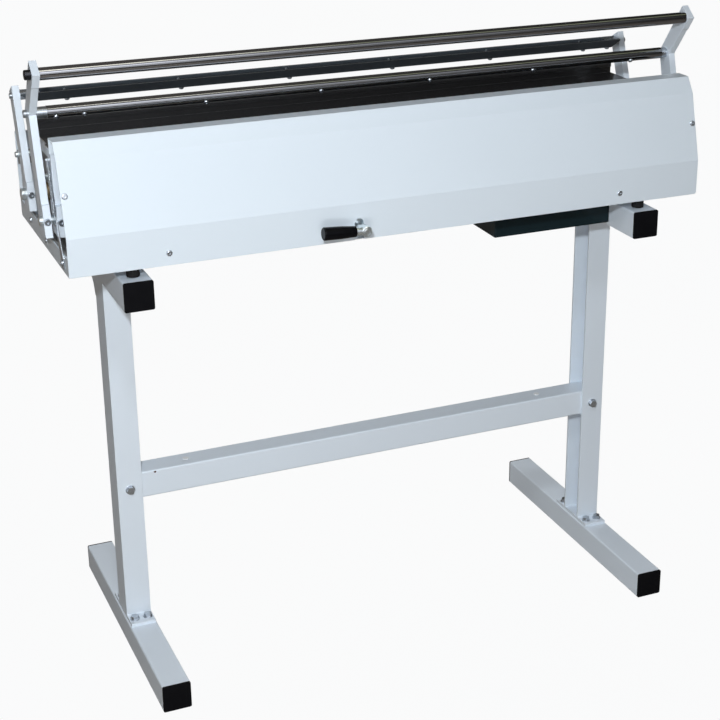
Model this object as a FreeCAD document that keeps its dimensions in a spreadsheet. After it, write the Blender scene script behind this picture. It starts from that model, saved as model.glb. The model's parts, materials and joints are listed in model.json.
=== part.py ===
import FreeCAD, Part
import math
import os
import Sketcher

# A plan folding machine on a two-leg stand, about A0 wide, in millimetres.
# X runs along the machine, Y runs from the front to the back, Z is up and the floor is at zero.
# The frame stands in the middle between the feet.

SIZES = {
    # stand: square tubes for the feet and the top beams
    "tube_width": 50.0,
    "tube_wall": 3.0,
    "tube_corner": 3.0,
    "leg_spread_inset": 89.0,
    "foot_half_length": 270.0,
    "beam_half_length": 187.0,
    "beam_bottom": 705.0,
    "cap_plate": 3.0,
    "cap_plug": 14.0,
    "cap_clearance": 0.1,
    # stand: posts with their base plates and rear gussets
    "post_width": 45.0,
    "post_depth": 56.0,
    "post_wall": 4.0,
    "base_plate": 6.0,
    "base_plate_half_length": 62.0,
    "base_bolt_reach": 45.0,
    "base_bolt_spread": 12.0,
    "gusset_depth": 36.0,
    "gusset_height": 42.0,
    "gusset_toe": 4.0,
    "gusset_wall": 5.0,
    # stand: cross bar and its bolts
    "bar_top": 337.0,
    "bar_height": 50.0,
    "bar_clearance": 0.2,
    "bar_bolt_height": 309.5,
    "plug_spread_inset": 112.0,
    "plug_radius": 4.0,
    "plug_rise": 1.2,
    # hexagon bolts of the stand
    "bolt_radius": 4.0,
    "bolt_clearance": 0.2,
    "bolt_head_radius": 7.2,
    "bolt_head": 5.5,
    "washer_radius": 8.5,
    "washer": 1.6,
    "nut": 6.5,
    "base_bolt_length": 12.0,
    # rubber feet under the machine body
    "puck_radius": 11.0,
    "puck_height": 19.0,
    "puck_spread": 158.0,
    "puck_edge": 1.5,
    # sheet metal of the body
    "sheet": 2.0,
    "body_half_length_step": 19.0,
    "pan_front": -182.0,
    "pan_back": 185.0,
    "pan_wall_height": 36.0,
    "pan_end_height": 30.0,
    "pan_notch_half_width": 11.0,
    # front cover outline
    "cover_lower_bend_drop": 7.5,
    "cover_upper_bend_y": -152.7,
    "cover_upper_bend_rise": 111.0,
    "cover_corner": 4.5,
    "lip_front_y": -134.8,
    "lip_back_y": -104.7,
    "lip_height_rise": 137.4,
    "lip_flange_drop": 26.0,
    "notch_half_width": 8.0,
    "notch_centre_height_rise": 5.0,
    # rear cover outline
    "rear_bend_rise": 80.0,
    "rear_top_rise": 98.0,
    "rear_top_y": 110.4,
    # small dome screws of the covers, the table and the pan
    "screw_radius": 2.0,
    "screw_clearance": 0.1,
    "screw_head_radius": 5.0,
    "screw_head": 2.6,
    "screw_length": 5.0,
    "socket_radius": 1.5,
    "socket_depth": 1.2,
    "cover_screw_low_x_inset": 144.0,
    "cover_screw_low_rise": 20.5,
    "cover_screw_high_x_step": 12.5,
    "cover_screw_high_rise": 58.0,
    "rear_screw_high_rise": 35.0,
    "end_screw_height_rise": 15.0,
    "end_screw_middle": -22.0,
    "end_screw_pitch": 125.0,
    # side frames inside the covers
    "frame_outer_inset": 8.0,
    "frame_wall": 8.0,
    "frame_front": -160.0,
    "frame_back": 158.0,
    "frame_front_top_rise": 73.0,
    "frame_back_shoulder_rise": 47.0,
    "frame_back_top_y": 113.0,
    "frame_back_top_rise": 77.0,
    "frame_neck_y": -36.0,
    "tab_bottom_rise": 45.0,
    "tab_top_rise": 69.0,
    "tab_wall": 4.0,
    "tab_end_step": 18.0,
    "tab_gap": 0.2,
    "foot_leg": 4.0,
    # bed plate with its end rails
    "bed_top_rise": 98.5,
    "bed_half_length": 561.0,
    "bed_front": -30.0,
    "bed_back": 110.0,
    "bed_front_flange_drop": 18.5,
    "bed_clearance": 0.3,
    "bed_hem_rise": 11.5,
    "bed_hem": 7.0,
    "bed_hem_edge": 0.8,
    "rail_height": 20.0,
    "rail_start": -26.0,
    "rail_end": 106.0,
    "rail_screw_margin": 16.0,
    # pivots
    "front_pivot_y": -92.0,
    "rear_pivot_y": 71.0,
    "pivot_height_rise": 71.0,
    "shaft_radius": 8.0,
    "rear_shaft_radius": 10.0,
    "front_shaft_end_step": 42.0,
    "rear_shaft_end_step": 38.0,
    "tube_radius": 13.0,
    "running_clearance": 0.05,
    "clamp_clearance": 0.02,
    "bush_wall": 3.0,
    "bush_flange": 3.0,
    "bush_flange_wall": 3.0,
    "shaft_chamfer": 1.0,
    # front swing arms
    "arm_wall": 12.0,
    "front_arm_outer_step": 36.5,
    "front_block_low_front": -112.0,
    "front_block_top_front": -101.0,
    "front_block_low_back": -72.0,
    "front_block_top_back": -60.0,
    "front_block_low_drop": 24.0,
    "front_block_top_rise": 28.0,
    "front_arm_start": -97.0,
    "front_arm_start_back": -60.0,
    "front_knee_front": -58.0,
    "front_knee_back": -26.0,
    "front_tip_front": -116.0,
    "front_pad_y": -99.0,
    "front_pad_drop": 22.0,
    "front_notch_y": -96.0,
    "front_notch_drop": 24.0,
    "front_tip_rise": 1.0,
    "front_top_y": -93.0,
    "front_top_rise": 20.0,
    # rear swing arms
    "rear_arm_outer_step": 29.5,
    "rear_block_low_front": 48.0,
    "rear_block_top_front": 57.0,
    "rear_block_low_back": 88.0,
    "rear_block_top_back": 96.0,
    "rear_block_low_drop": 25.0,
    "rear_block_top_rise": 23.0,
    "rear_arm_start": 60.0,
    "rear_arm_start_back": 91.0,
    "rear_tip_front": 116.0,
    "rear_tip_rise": 175.0,
    "rear_top_back": 141.0,
    "rear_top_back_height_rise": 161.0,
    # handle bar and round fold bar on the front arms
    "rod_radius": 10.0,
    "handle_y": -101.0,
    "handle_height_rise": 238.0,
    "fold_bar_y": -44.0,
    "fold_bar_height_rise": 164.0,
    "fold_bar_left_step": 6.0,
    "fold_bar_right_step": 13.0,
    "spacer_radius": 9.4,
    "end_bolt_radius": 4.0,
    "end_bolt_depth": 20.0,
    "handle_head_radius": 8.0,
    "handle_head": 10.0,
    "handle_sunk_head": 6.0,
    "fold_head_radius": 6.5,
    "fold_head": 6.5,
    "fold_screw_end_inset": 8.0,
    "row_head_radius": 4.2,
    "row_head": 3.2,
    # folding channel on the rear arms
    "channel_front": 105.0,
    "channel_back": 131.0,
    "channel_bottom_rise": 148.0,
    "channel_wall": 2.5,
    "channel_front_height": 14.0,
    "channel_back_height": 16.5,
    "channel_front_end_inset": 2.0,
    "channel_edge": 1.1,
    "channel_screw_y": 118.0,
    "channel_row_y": 112.0,
    "channel_head_radius": 4.6,
    "channel_head": 4.4,
    "channel_screw_end_inset": 8.0,
    "pin_height_rise": 10.5,
    "pin_radius": 2.0,
    "pin_reach": 1.4,
    "end_block_start_inset": 15.0,
    "end_block_margin": 3.0,
    "end_block_bottom_rise": 4.0,
    "end_block_top_rise": 15.5,
    "end_block_bolt_radius": 2.5,
    "end_block_bolt_depth": 16.0,
    "end_block_head_radius": 4.5,
    "end_block_head": 4.5,
    # clamp arms with the clamp bar and its rubber strip
    "clamp_arm_outer_step": 16.5,
    "clamp_arm_wall": 11.5,
    "clamp_block_front": -114.0,
    "clamp_block_back": -72.0,
    "clamp_block_low_drop": 25.0,
    "clamp_block_top_rise": 27.0,
    "clamp_arm_front": -102.0,
    "clamp_arm_back": -78.0,
    "clamp_arm_top_rise": 114.0,
    "clamp_bar_back": -62.0,
    "clamp_bar_wall": 3.0,
    "clamp_bar_front": -101.0,
    "clamp_bar_height_rise": 18.0,
    "clamp_bar_half_length_step": 16.0,
    "strip_half_length_inset": 6.0,
    "strip_gap": 0.3,
    "strip_bottom_rise": 2.0,
    "strip_top_rise": 17.0,
    # clamping screws in the arm blocks
    "arm_screw_height_rise": 1.0,
    "arm_screw_head_radius": 5.0,
    "arm_screw_head": 5.0,
    "arm_screw_radius": 3.0,
    "arm_screw_socket": 2.6,
    "counterbore_clearance": 0.5,
    "front_screw_seat": -104.5,
    "rear_screw_seat": 57.5,
    # stop pins of the swing arms
    "stop_radius": 5.0,
    "stop_gap": 0.2,
    "stop_height_rise": 59.0,
    "stop_end_step": 35.0,
    # tension springs between the clamp arms and the anchor strips
    "spring_x_step": 20.6,
    "spring_radius": 2.3,
    "spring_wire": 0.7,
    "spring_turns": 34.0,
    "spring_gap": 0.3,
    "spring_low_y": -116.0,
    "spring_pin_y": -95.5,
    "spring_pin_height_rise": 100.0,
    "spring_pin_radius": 1.6,
    "spring_pin_end_step": 23.8,
    "anchor_wall": 1.6,
    "anchor_half_width": 6.0,
    "anchor_half_foot": 9.0,
    "anchor_bottom_rise": 6.0,
    "anchor_shoulder_rise": 24.0,
    "anchor_neck_rise": 13.0,
    "anchor_top_rise": 19.0,
    # lever with its shaft, bearing, cam and follower
    "lever_x": -88.5,
    "lever_height_rise": 24.0,
    "lever_shaft_radius": 6.0,
    "lever_shaft_front": -222.0,
    "lever_shaft_back": -124.0,
    "hub_radius": 9.0,
    "hub_length": 16.0,
    "hub_inset": 0.5,
    "neck_radius": 7.5,
    "grip_start": 18.5,
    "grip_end": 76.0,
    "grip_near_radius": 9.2,
    "grip_far_radius": 11.3,
    "grip_edge": 1.5,
    "bearing_half_width": 16.0,
    "bearing_front": -176.0,
    "bearing_back": -154.0,
    "bearing_rise": 36.0,
    "cam_front": -143.0,
    "cam_back": -127.0,
    "cam_low_radius": 12.0,
    "cam_lift": 4.2,
    "nose_gap": 0.6,
    "nose_front": -138.0,
    "nose_back": -130.0,
    "follower_wall": 12.0,
    "follower_ring": 20.0,
    # tray under the right half
    "tray_length": 237.8,
    "tray_front": -102.0,
    "tray_back": 60.0,
    "tray_bottom_drop": 61.0,
    "tray_wall": 2.5,
    "tray_flange": 14.0,
    "tray_corner": 2.4,
}

# Hand-chosen shares of the outlines and fillets
INNER_BEND_SHARE = 0.97
INNER_DROP_SHARE = 0.25
INNER_LIP_SHARE = 0.55
REAR_BEND_SHARE = 0.8
DOME_SHARE = 0.7
SOCKET_SHARE = 0.5
SOCKET_DEPTH_SHARE = 0.6
PLUG_HEAD_SHARE = 1.4
GUSSET_OUT_SHARE = 0.35
GUSSET_UP_SHARE = 0.45
GRIP_BELLY_SHARE = 0.4
GRIP_SWELL_SHARE = 0.7
OVER_SHARE = 1.5
FOLLOWER_UPPER_SHARES = (0.6, 0.75)
FOLLOWER_UNDER_SHARES = (0.3, 0.9)
FOLD_PITCH_SHARE = 0.3618
CHANNEL_PITCH_SHARE = 0.3565
CUT_SHARE = 3.0
HALF = 0.5
# Counts and angles in degrees
CAM_POINTS = 36
LEVER_TILT = 3.0
FOLD_SCREW_TURN = 46.0
HEXAGON = [(math.cos(math.radians(60 * k)), math.sin(math.radians(60 * k))) for k in range(6)]
TOLERANCE = 1e-4


class Size:
    """A length together with the formula that gives it in the sheet."""

    def __init__(self, value, text):
        self.value = value
        self.text = text

    @staticmethod
    def of(other):
        if isinstance(other, Size):
            return other
        return Size(float(other), repr(float(other)))

    def joined(self, other, sign, value):
        return Size(value, "(" + self.text + " " + sign + " " + Size.of(other).text + ")")

    def __add__(self, other):
        return self.joined(other, "+", self.value + Size.of(other).value)

    def __sub__(self, other):
        return self.joined(other, "-", self.value - Size.of(other).value)

    def __mul__(self, other):
        return self.joined(other, "*", self.value * Size.of(other).value)

    def __truediv__(self, other):
        return self.joined(other, "/", self.value / Size.of(other).value)

    def __neg__(self):
        return self * -1

    __rmul__ = __mul__


def hypotenuse(a, b):
    text = "sqrt(" + a.text + " * " + a.text + " + " + b.text + " * " + b.text + ")"
    return Size(math.hypot(a.value, b.value), text)


class Names:
    """Gives every size of the sheet by its name."""

    def __getattr__(self, name):
        return Size(SIZES[name], "Sizes." + name)


s = Names()
ZERO = Size.of(0)
doc = FreeCAD.newDocument("FoldingMachine")
PARTS = []


def fill_sheet():
    sheet = doc.addObject("Spreadsheet::Sheet", "Sizes")
    for row, (name, value) in enumerate(SIZES.items(), start=1):
        sheet.set("A%d" % row, name)
        sheet.set("B%d" % row, str(value))
        sheet.setAlias("B%d" % row, name)
    doc.recompute()


def poly(*points):
    return ("poly", [(Size.of(a), Size.of(b)) for a, b in points])


def rect(a0, b0, a1, b1):
    return poly((a0, b0), (a1, b0), (a1, b1), (a0, b1))


def circle(a, b, radius):
    return ("circle", (Size.of(a), Size.of(b), Size.of(radius)))


def hexagon(a, b, radius):
    return poly(*[(a + radius * c, b + radius * d) for c, d in HEXAGON])


def new_body(name):
    body = doc.addObject("PartDesign::Body", name)
    body.Label = name
    PARTS.append(body)
    return body


def place_point(sketch, geometry, position, a, b):
    for kind, size in (("DistanceX", a), ("DistanceY", b)):
        index = sketch.addConstraint(Sketcher.Constraint(kind, -1, 1, geometry, position, size.value))
        sketch.setExpression("Constraints[%d]" % index, size.text)


def add_poly(sketch, points):
    vectors = [FreeCAD.Vector(a.value, b.value, 0) for a, b in points]
    lines = []
    for k, start in enumerate(vectors):
        end = vectors[(k + 1) % len(vectors)]
        lines.append(sketch.addGeometry(Part.LineSegment(start, end), False))
    for k, line in enumerate(lines):
        after = lines[(k + 1) % len(lines)]
        sketch.addConstraint(Sketcher.Constraint("Coincident", line, 2, after, 1))
    for line, (a, b) in zip(lines, points):
        place_point(sketch, line, 1, a, b)


def add_circle(sketch, a, b, radius):
    shape = Part.Circle(FreeCAD.Vector(a.value, b.value, 0), FreeCAD.Vector(0, 0, 1), radius.value)
    geometry = sketch.addGeometry(shape, False)
    index = sketch.addConstraint(Sketcher.Constraint("Radius", geometry, radius.value))
    sketch.setExpression("Constraints[%d]" % index, radius.text)
    place_point(sketch, geometry, 3, a, b)


def draw(body, plane, loops, start):
    """Draw the loops on an origin plane of the body, moved along the plane's axis to start."""
    sketch = body.newObject("Sketcher::SketchObject", body.Name + "_outline")
    origin = [o for o in body.Origin.OriginFeatures if o.Role == plane + "_Plane"][0]
    sketch.AttachmentSupport = [(origin, "")]
    sketch.MapMode = "FlatFace"
    shift = -start if plane == "XZ" else start
    sketch.AttachmentOffset = FreeCAD.Placement(FreeCAD.Vector(0, 0, shift.value), FreeCAD.Rotation())
    sketch.setExpression("AttachmentOffset.Base.z", shift.text)
    for kind, data in loops:
        if kind == "poly":
            add_poly(sketch, data)
        else:
            add_circle(sketch, *data)
    return sketch


def pad(body, plane, loops, start, length):
    """Grow the loops from start along the plane's axis."""
    sketch = draw(body, plane, loops, Size.of(start))
    feature = body.newObject("PartDesign::Pad", body.Name + "_pad")
    feature.Profile = sketch
    feature.setExpression("Length", Size.of(length).text)
    feature.Reversed = plane == "XZ"
    doc.recompute()
    return feature


def cut(body, plane, loops, start, length):
    """Take the loops away from start along the plane's axis."""
    before = body.Shape.Volume
    sketch = draw(body, plane, loops, Size.of(start))
    feature = body.newObject("PartDesign::Pocket", body.Name + "_cut")
    feature.Profile = sketch
    feature.setExpression("Length", Size.of(length).text)
    feature.Reversed = plane != "XZ"
    doc.recompute()
    if not body.Shape.Volume < before - TOLERANCE:
        raise RuntimeError("nothing was cut from " + body.Name)
    return feature


def edges_where(body, test):
    return ["Edge%d" % k for k, edge in enumerate(body.Shape.Edges, start=1) if test(edge)]


def soften(body, test, size, kind="Fillet"):
    """Round or bevel the edges that pass the test."""
    names = edges_where(body, test)
    if not names:
        raise RuntimeError("no edge to soften on " + body.Name)
    base = body.Tip
    feature = body.newObject("PartDesign::" + kind, body.Name + "_edge")
    feature.Base = (base, names)
    if kind == "Fillet":
        feature.setExpression("Radius", size.text)
    else:
        feature.setExpression("Size", size.text)
    body.Tip = feature
    doc.recompute()
    return feature


def near(a, b):
    return abs(a - b) < TOLERANCE * 10


def runs_along(edge, axis):
    """True for a straight edge along the axis."""
    if len(edge.Vertexes) < 2:
        return False
    step = edge.Vertexes[-1].Point - edge.Vertexes[0].Point
    return step.Length > TOLERANCE and near(abs(step.dot(axis)), step.Length)


X_AXIS = FreeCAD.Vector(1, 0, 0)
Y_AXIS = FreeCAD.Vector(0, 1, 0)
Z_AXIS = FreeCAD.Vector(0, 0, 1)


def round_rims(body, axis, level, size, kind="Fillet"):
    """Soften the round edges that lie at one level of an axis."""
    def on_level(edge):
        box = edge.BoundBox
        low = FreeCAD.Vector(box.XMin, box.YMin, box.ZMin).dot(axis)
        high = FreeCAD.Vector(box.XMax, box.YMax, box.ZMax).dot(axis)
        return near(low, level) and near(high, level) and len(edge.Vertexes) == 1
    return soften(body, on_level, size, kind)


def side_name(side):
    return "left" if side < 0 else "right"


def span(side, inner, wall):
    """Start of a wall that lies outward from inner, for either side."""
    return inner if side > 0 else -(inner + wall)


def place(body, x, y, z, axis, angle):
    """Turn and move a body, with the position bound to the sheet."""
    body.Placement = FreeCAD.Placement(FreeCAD.Vector(x.value, y.value, z.value),
                                       FreeCAD.Rotation(axis, angle))
    body.setExpression("Placement.Base.x", x.text)
    body.setExpression("Placement.Base.y", y.text)
    body.setExpression("Placement.Base.z", z.text)
    doc.recompute()


# Places that follow from the sizes

PAN_BOTTOM = s.beam_bottom + s.tube_width + s.puck_height
PAN_FLOOR = PAN_BOTTOM + s.sheet
BODY_HALF_LENGTH = s.bed_half_length + s.body_half_length_step
FRAME_OUTER = s.bed_half_length - s.frame_outer_inset
TAB_END = s.bed_half_length + s.tab_end_step
FRONT_SHAFT_END = s.bed_half_length + s.front_shaft_end_step
REAR_SHAFT_END = s.bed_half_length + s.rear_shaft_end_step
FRONT_ARM_OUTER = s.bed_half_length + s.front_arm_outer_step
REAR_ARM_OUTER = s.bed_half_length + s.rear_arm_outer_step
CLAMP_ARM_OUTER = s.bed_half_length + s.clamp_arm_outer_step
CLAMP_BAR_HALF_LENGTH = s.bed_half_length + s.clamp_bar_half_length_step
STRIP_HALF_LENGTH = s.bed_half_length - s.strip_half_length_inset
FOLD_BAR_RIGHT = s.bed_half_length + s.fold_bar_right_step
CHANNEL_FRONT_END = s.bed_half_length - s.channel_front_end_inset
CHANNEL_SCREW_END = s.bed_half_length - s.channel_screw_end_inset
END_BLOCK_START = s.bed_half_length - s.end_block_start_inset
COVER_SCREW_HIGH_X = s.bed_half_length + s.cover_screw_high_x_step
COVER_SCREW_LOW_X = s.bed_half_length - s.cover_screw_low_x_inset
STOP_END = s.bed_half_length + s.stop_end_step
SPRING_X = s.bed_half_length + s.spring_x_step
SPRING_PIN_END = s.bed_half_length + s.spring_pin_end_step
LEG_SPREAD = s.bed_half_length - s.leg_spread_inset
PLUG_SPREAD = LEG_SPREAD - s.plug_spread_inset
PIVOT_HEIGHT = PAN_BOTTOM + s.pivot_height_rise
COVER_SCREW_LOW = PAN_BOTTOM + s.cover_screw_low_rise
END_SCREW_HEIGHT = PAN_BOTTOM + s.end_screw_height_rise
LEVER_HEIGHT = PAN_BOTTOM + s.lever_height_rise
ANCHOR_BOTTOM = PAN_BOTTOM + s.anchor_bottom_rise
ANCHOR_SHOULDER = PAN_BOTTOM + s.anchor_shoulder_rise
TRAY_BOTTOM = PAN_BOTTOM - s.tray_bottom_drop
NOTCH_CENTRE_HEIGHT = LEVER_HEIGHT + s.notch_centre_height_rise
COVER_LOWER_BEND = PIVOT_HEIGHT - s.cover_lower_bend_drop
COVER_UPPER_BEND = PIVOT_HEIGHT + s.cover_upper_bend_rise
LIP_HEIGHT = PIVOT_HEIGHT + s.lip_height_rise
REAR_BEND = PIVOT_HEIGHT + s.rear_bend_rise
REAR_TOP = PIVOT_HEIGHT + s.rear_top_rise
COVER_SCREW_HIGH = PIVOT_HEIGHT + s.cover_screw_high_rise
REAR_SCREW_HIGH = PIVOT_HEIGHT + s.rear_screw_high_rise
FRAME_FRONT_TOP = PIVOT_HEIGHT + s.frame_front_top_rise
FRAME_BACK_SHOULDER = PIVOT_HEIGHT + s.frame_back_shoulder_rise
FRAME_BACK_TOP = PIVOT_HEIGHT + s.frame_back_top_rise
TAB_BOTTOM = PIVOT_HEIGHT + s.tab_bottom_rise
TAB_TOP = PIVOT_HEIGHT + s.tab_top_rise
BED_TOP = PIVOT_HEIGHT + s.bed_top_rise
FRONT_BLOCK_LOW = PIVOT_HEIGHT - s.front_block_low_drop
FRONT_BLOCK_TOP = PIVOT_HEIGHT + s.front_block_top_rise
REAR_BLOCK_LOW = PIVOT_HEIGHT - s.rear_block_low_drop
REAR_BLOCK_TOP = PIVOT_HEIGHT + s.rear_block_top_rise
REAR_TIP = PIVOT_HEIGHT + s.rear_tip_rise
REAR_TOP_BACK_HEIGHT = PIVOT_HEIGHT + s.rear_top_back_height_rise
HANDLE_HEIGHT = PIVOT_HEIGHT + s.handle_height_rise
FOLD_BAR_HEIGHT = PIVOT_HEIGHT + s.fold_bar_height_rise
CHANNEL_BOTTOM = PIVOT_HEIGHT + s.channel_bottom_rise
CLAMP_BLOCK_LOW = PIVOT_HEIGHT - s.clamp_block_low_drop
CLAMP_BLOCK_TOP = PIVOT_HEIGHT + s.clamp_block_top_rise
CLAMP_ARM_TOP = PIVOT_HEIGHT + s.clamp_arm_top_rise
ARM_SCREW_HEIGHT = PIVOT_HEIGHT + s.arm_screw_height_rise
STOP_HEIGHT = PIVOT_HEIGHT + s.stop_height_rise
SPRING_PIN_HEIGHT = PIVOT_HEIGHT + s.spring_pin_height_rise
ANCHOR_NECK = PIVOT_HEIGHT + s.anchor_neck_rise
ANCHOR_TOP = PIVOT_HEIGHT + s.anchor_top_rise
BED_FRONT_FLANGE = BED_TOP - s.bed_front_flange_drop
BED_HEM_BOTTOM = BED_TOP + s.bed_hem_rise
FRONT_KNEE = FOLD_BAR_HEIGHT
FRONT_TIP = HANDLE_HEIGHT + s.front_tip_rise
FRONT_TOP = HANDLE_HEIGHT + s.front_top_rise
PIN_HEIGHT = CHANNEL_BOTTOM + s.pin_height_rise
END_BLOCK_BOTTOM = CHANNEL_BOTTOM + s.end_block_bottom_rise
END_BLOCK_TOP = CHANNEL_BOTTOM + s.end_block_top_rise
CLAMP_BAR_HEIGHT = CLAMP_ARM_TOP + s.clamp_bar_height_rise
STRIP_BOTTOM = CLAMP_ARM_TOP + s.strip_bottom_rise
STRIP_TOP = CLAMP_ARM_TOP + s.strip_top_rise
FOLD_BAR_LEFT = -(s.bed_half_length + s.fold_bar_left_step)
FOLD_SCREW_END = -(s.bed_half_length - s.fold_screw_end_inset)
FOLD_SCREW_PITCH = s.bed_half_length * FOLD_PITCH_SHARE
CHANNEL_SCREW_PITCH = s.bed_half_length * CHANNEL_PITCH_SHARE
POST_OUTER = LEG_SPREAD + s.post_width / 2
POST_INNER = LEG_SPREAD - s.post_width / 2


# Stand


def base_bolt_places():
    places = []
    for side in (-1, 1):
        for across in (-1, 1):
            for along in (-1, 1):
                places.append((LEG_SPREAD * side + s.base_bolt_spread * across, s.base_bolt_reach * along))
    return places


def square_tube(name, middle, bottom, half_length):
    body = new_body(name)
    half = s.tube_width / 2
    wall = s.tube_wall
    outer = rect(middle - half, bottom, middle + half, bottom + s.tube_width)
    pad(body, "XZ", [outer], -half_length, half_length * 2)
    lengthways = lambda edge: runs_along(edge, Y_AXIS)
    soften(body, lengthways, s.tube_corner)
    inner = rect(middle - half + wall, bottom + wall, middle + half - wall, bottom + s.tube_width - wall)
    cut(body, "XZ", [inner], -half_length, half_length * 2)
    return body


def feet():
    for side in (-1, 1):
        middle = LEG_SPREAD * side
        body = square_tube(side_name(side) + "_foot_tube", middle, ZERO, s.foot_half_length)
        mine = [p for p in base_bolt_places() if p[0].value * side > 0]
        holes = [circle(x, y, s.bolt_radius + s.bolt_clearance) for x, y in mine]
        cut(body, "XY", holes, s.tube_width - s.tube_wall * OVER_SHARE, s.tube_wall * 2)


def beams():
    for side in (-1, 1):
        middle = LEG_SPREAD * side
        square_tube(side_name(side) + "_top_beam", middle, s.beam_bottom, s.beam_half_length)


def end_caps(name, bottom, half_length):
    body = new_body(name)
    half = s.tube_width / 2
    inset = s.tube_wall + s.cap_clearance
    plates = []
    plugs = []
    for side in (-1, 1):
        middle = LEG_SPREAD * side
        plates.append(rect(middle - half, bottom, middle + half, bottom + s.tube_width))
        plugs.append(rect(middle - half + inset, bottom + inset,
                          middle + half - inset, bottom + s.tube_width - inset))
    pad(body, "XZ", plates, -(half_length + s.cap_plate), s.cap_plate)
    pad(body, "XZ", plates, half_length, s.cap_plate)
    outline = lambda edge: runs_along(edge, Y_AXIS)
    soften(body, outline, s.tube_corner)
    pad(body, "XZ", plugs, -half_length, s.cap_plug)
    pad(body, "XZ", plugs, half_length - s.cap_plug, s.cap_plug)


def post(side):
    body = new_body(side_name(side) + "_post")
    web = POST_OUTER * side
    lip = POST_INNER * side
    inside = (POST_OUTER - s.post_wall) * side
    half = s.post_depth / 2
    deep = half - s.post_wall
    bottom = s.tube_width + s.base_plate
    channel = poly((web, -half), (lip, -half), (lip, -deep), (inside, -deep),
                   (inside, deep), (lip, deep), (lip, half), (web, half))
    pad(body, "XY", [channel], bottom, s.beam_bottom - bottom)
    plate = rect(web, -s.base_plate_half_length, lip, s.base_plate_half_length)
    pad(body, "XY", [plate], s.tube_width, s.base_plate)
    head = rect(inside, -deep, lip, deep)
    pad(body, "XY", [head], s.beam_bottom - s.post_wall, s.post_wall)
    top = s.beam_bottom
    low = top - s.gusset_height
    gusset = poly((half, low), (half + s.gusset_toe, low),
                  (half + s.gusset_depth * GUSSET_OUT_SHARE, low + s.gusset_height * GUSSET_UP_SHARE),
                  (half + s.gusset_depth, top - s.gusset_toe),
                  (half + s.gusset_depth, top), (half, top))
    start = web if side < 0 else web - s.gusset_wall
    pad(body, "YZ", [gusset], start, s.gusset_wall)
    mine = [p for p in base_bolt_places() if p[0].value * side > 0]
    holes = [circle(x, y, s.bolt_radius + s.bolt_clearance) for x, y in mine]
    cut(body, "XY", holes, s.tube_width - s.base_plate / 2, s.base_plate * 2)
    bolt = circle(LEG_SPREAD * side, s.bar_bolt_height, s.bolt_radius + s.bolt_clearance)
    cut(body, "XZ", [bolt], -s.post_depth, s.post_depth * 2)
    return body


def cross_bar():
    body = new_body("cross_bar")
    reach = POST_OUTER - s.post_wall - s.bar_clearance
    deep = s.post_depth / 2 - s.post_wall - s.bar_clearance
    low = s.bar_top - s.bar_height
    wall = s.tube_wall
    pad(body, "YZ", [rect(-deep, low, deep, s.bar_top)], -reach, reach * 2)
    soften(body, lambda edge: runs_along(edge, X_AXIS), s.tube_corner)
    cut(body, "YZ", [rect(-deep + wall, low + wall, deep - wall, s.bar_top - wall)], -reach, reach * 2)
    hole = s.bolt_radius + s.bolt_clearance
    bolts = [circle(LEG_SPREAD * side, s.bar_bolt_height, hole) for side in (-1, 1)]
    cut(body, "XZ", bolts, -s.post_depth, s.post_depth * 2)
    plugs = [circle(PLUG_SPREAD * side, ZERO, s.plug_radius) for side in (-1, 1)]
    cut(body, "XY", plugs, s.bar_top - wall * OVER_SHARE, wall * 2)


def bar_plugs():
    body = new_body("cross_bar_plugs")
    heads = [circle(PLUG_SPREAD * side, ZERO, s.plug_radius * PLUG_HEAD_SHARE) for side in (-1, 1)]
    pad(body, "XY", heads, s.bar_top, s.plug_rise)
    stems = [circle(PLUG_SPREAD * side, ZERO, s.plug_radius - s.cap_clearance) for side in (-1, 1)]
    pad(body, "XY", stems, s.bar_top - s.tube_wall, s.tube_wall)


def bar_bolts():
    body = new_body("cross_bar_bolts")
    places = [(LEG_SPREAD * side, s.bar_bolt_height) for side in (-1, 1)]
    face = -(s.post_depth / 2)
    pad(body, "XZ", [circle(x, z, s.washer_radius) for x, z in places], face - s.washer, s.washer)
    pad(body, "XZ", [hexagon(x, z, s.bolt_head_radius) for x, z in places],
        face - s.washer - s.bolt_head, s.bolt_head)
    pad(body, "XZ", [circle(x, z, s.bolt_radius) for x, z in places],
        face, s.post_depth + s.nut * OVER_SHARE)
    face = s.post_depth / 2
    bore = [circle(x, z, s.bolt_radius + s.clamp_clearance) for x, z in places]
    pad(body, "XZ", [hexagon(x, z, s.bolt_head_radius) for x, z in places] + bore, face, s.nut)


def base_bolts():
    body = new_body("base_plate_bolts")
    face = s.tube_width + s.base_plate
    places = base_bolt_places()
    pad(body, "XY", [circle(x, y, s.washer_radius) for x, y in places], face, s.washer)
    pad(body, "XY", [hexagon(x, y, s.bolt_head_radius) for x, y in places], face + s.washer, s.bolt_head)
    pad(body, "XY", [circle(x, y, s.bolt_radius) for x, y in places],
        face - s.base_bolt_length, s.base_bolt_length)


def pucks():
    body = new_body("machine_feet")
    rings = []
    for side in (-1, 1):
        for along in (-1, 1):
            rings.append(circle(LEG_SPREAD * side, s.puck_spread * along, s.puck_radius))
    low = s.beam_bottom + s.tube_width
    pad(body, "XY", rings, low, s.puck_height)
    round_rims(body, Z_AXIS, low.value, s.puck_edge)


# Body shell

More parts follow.
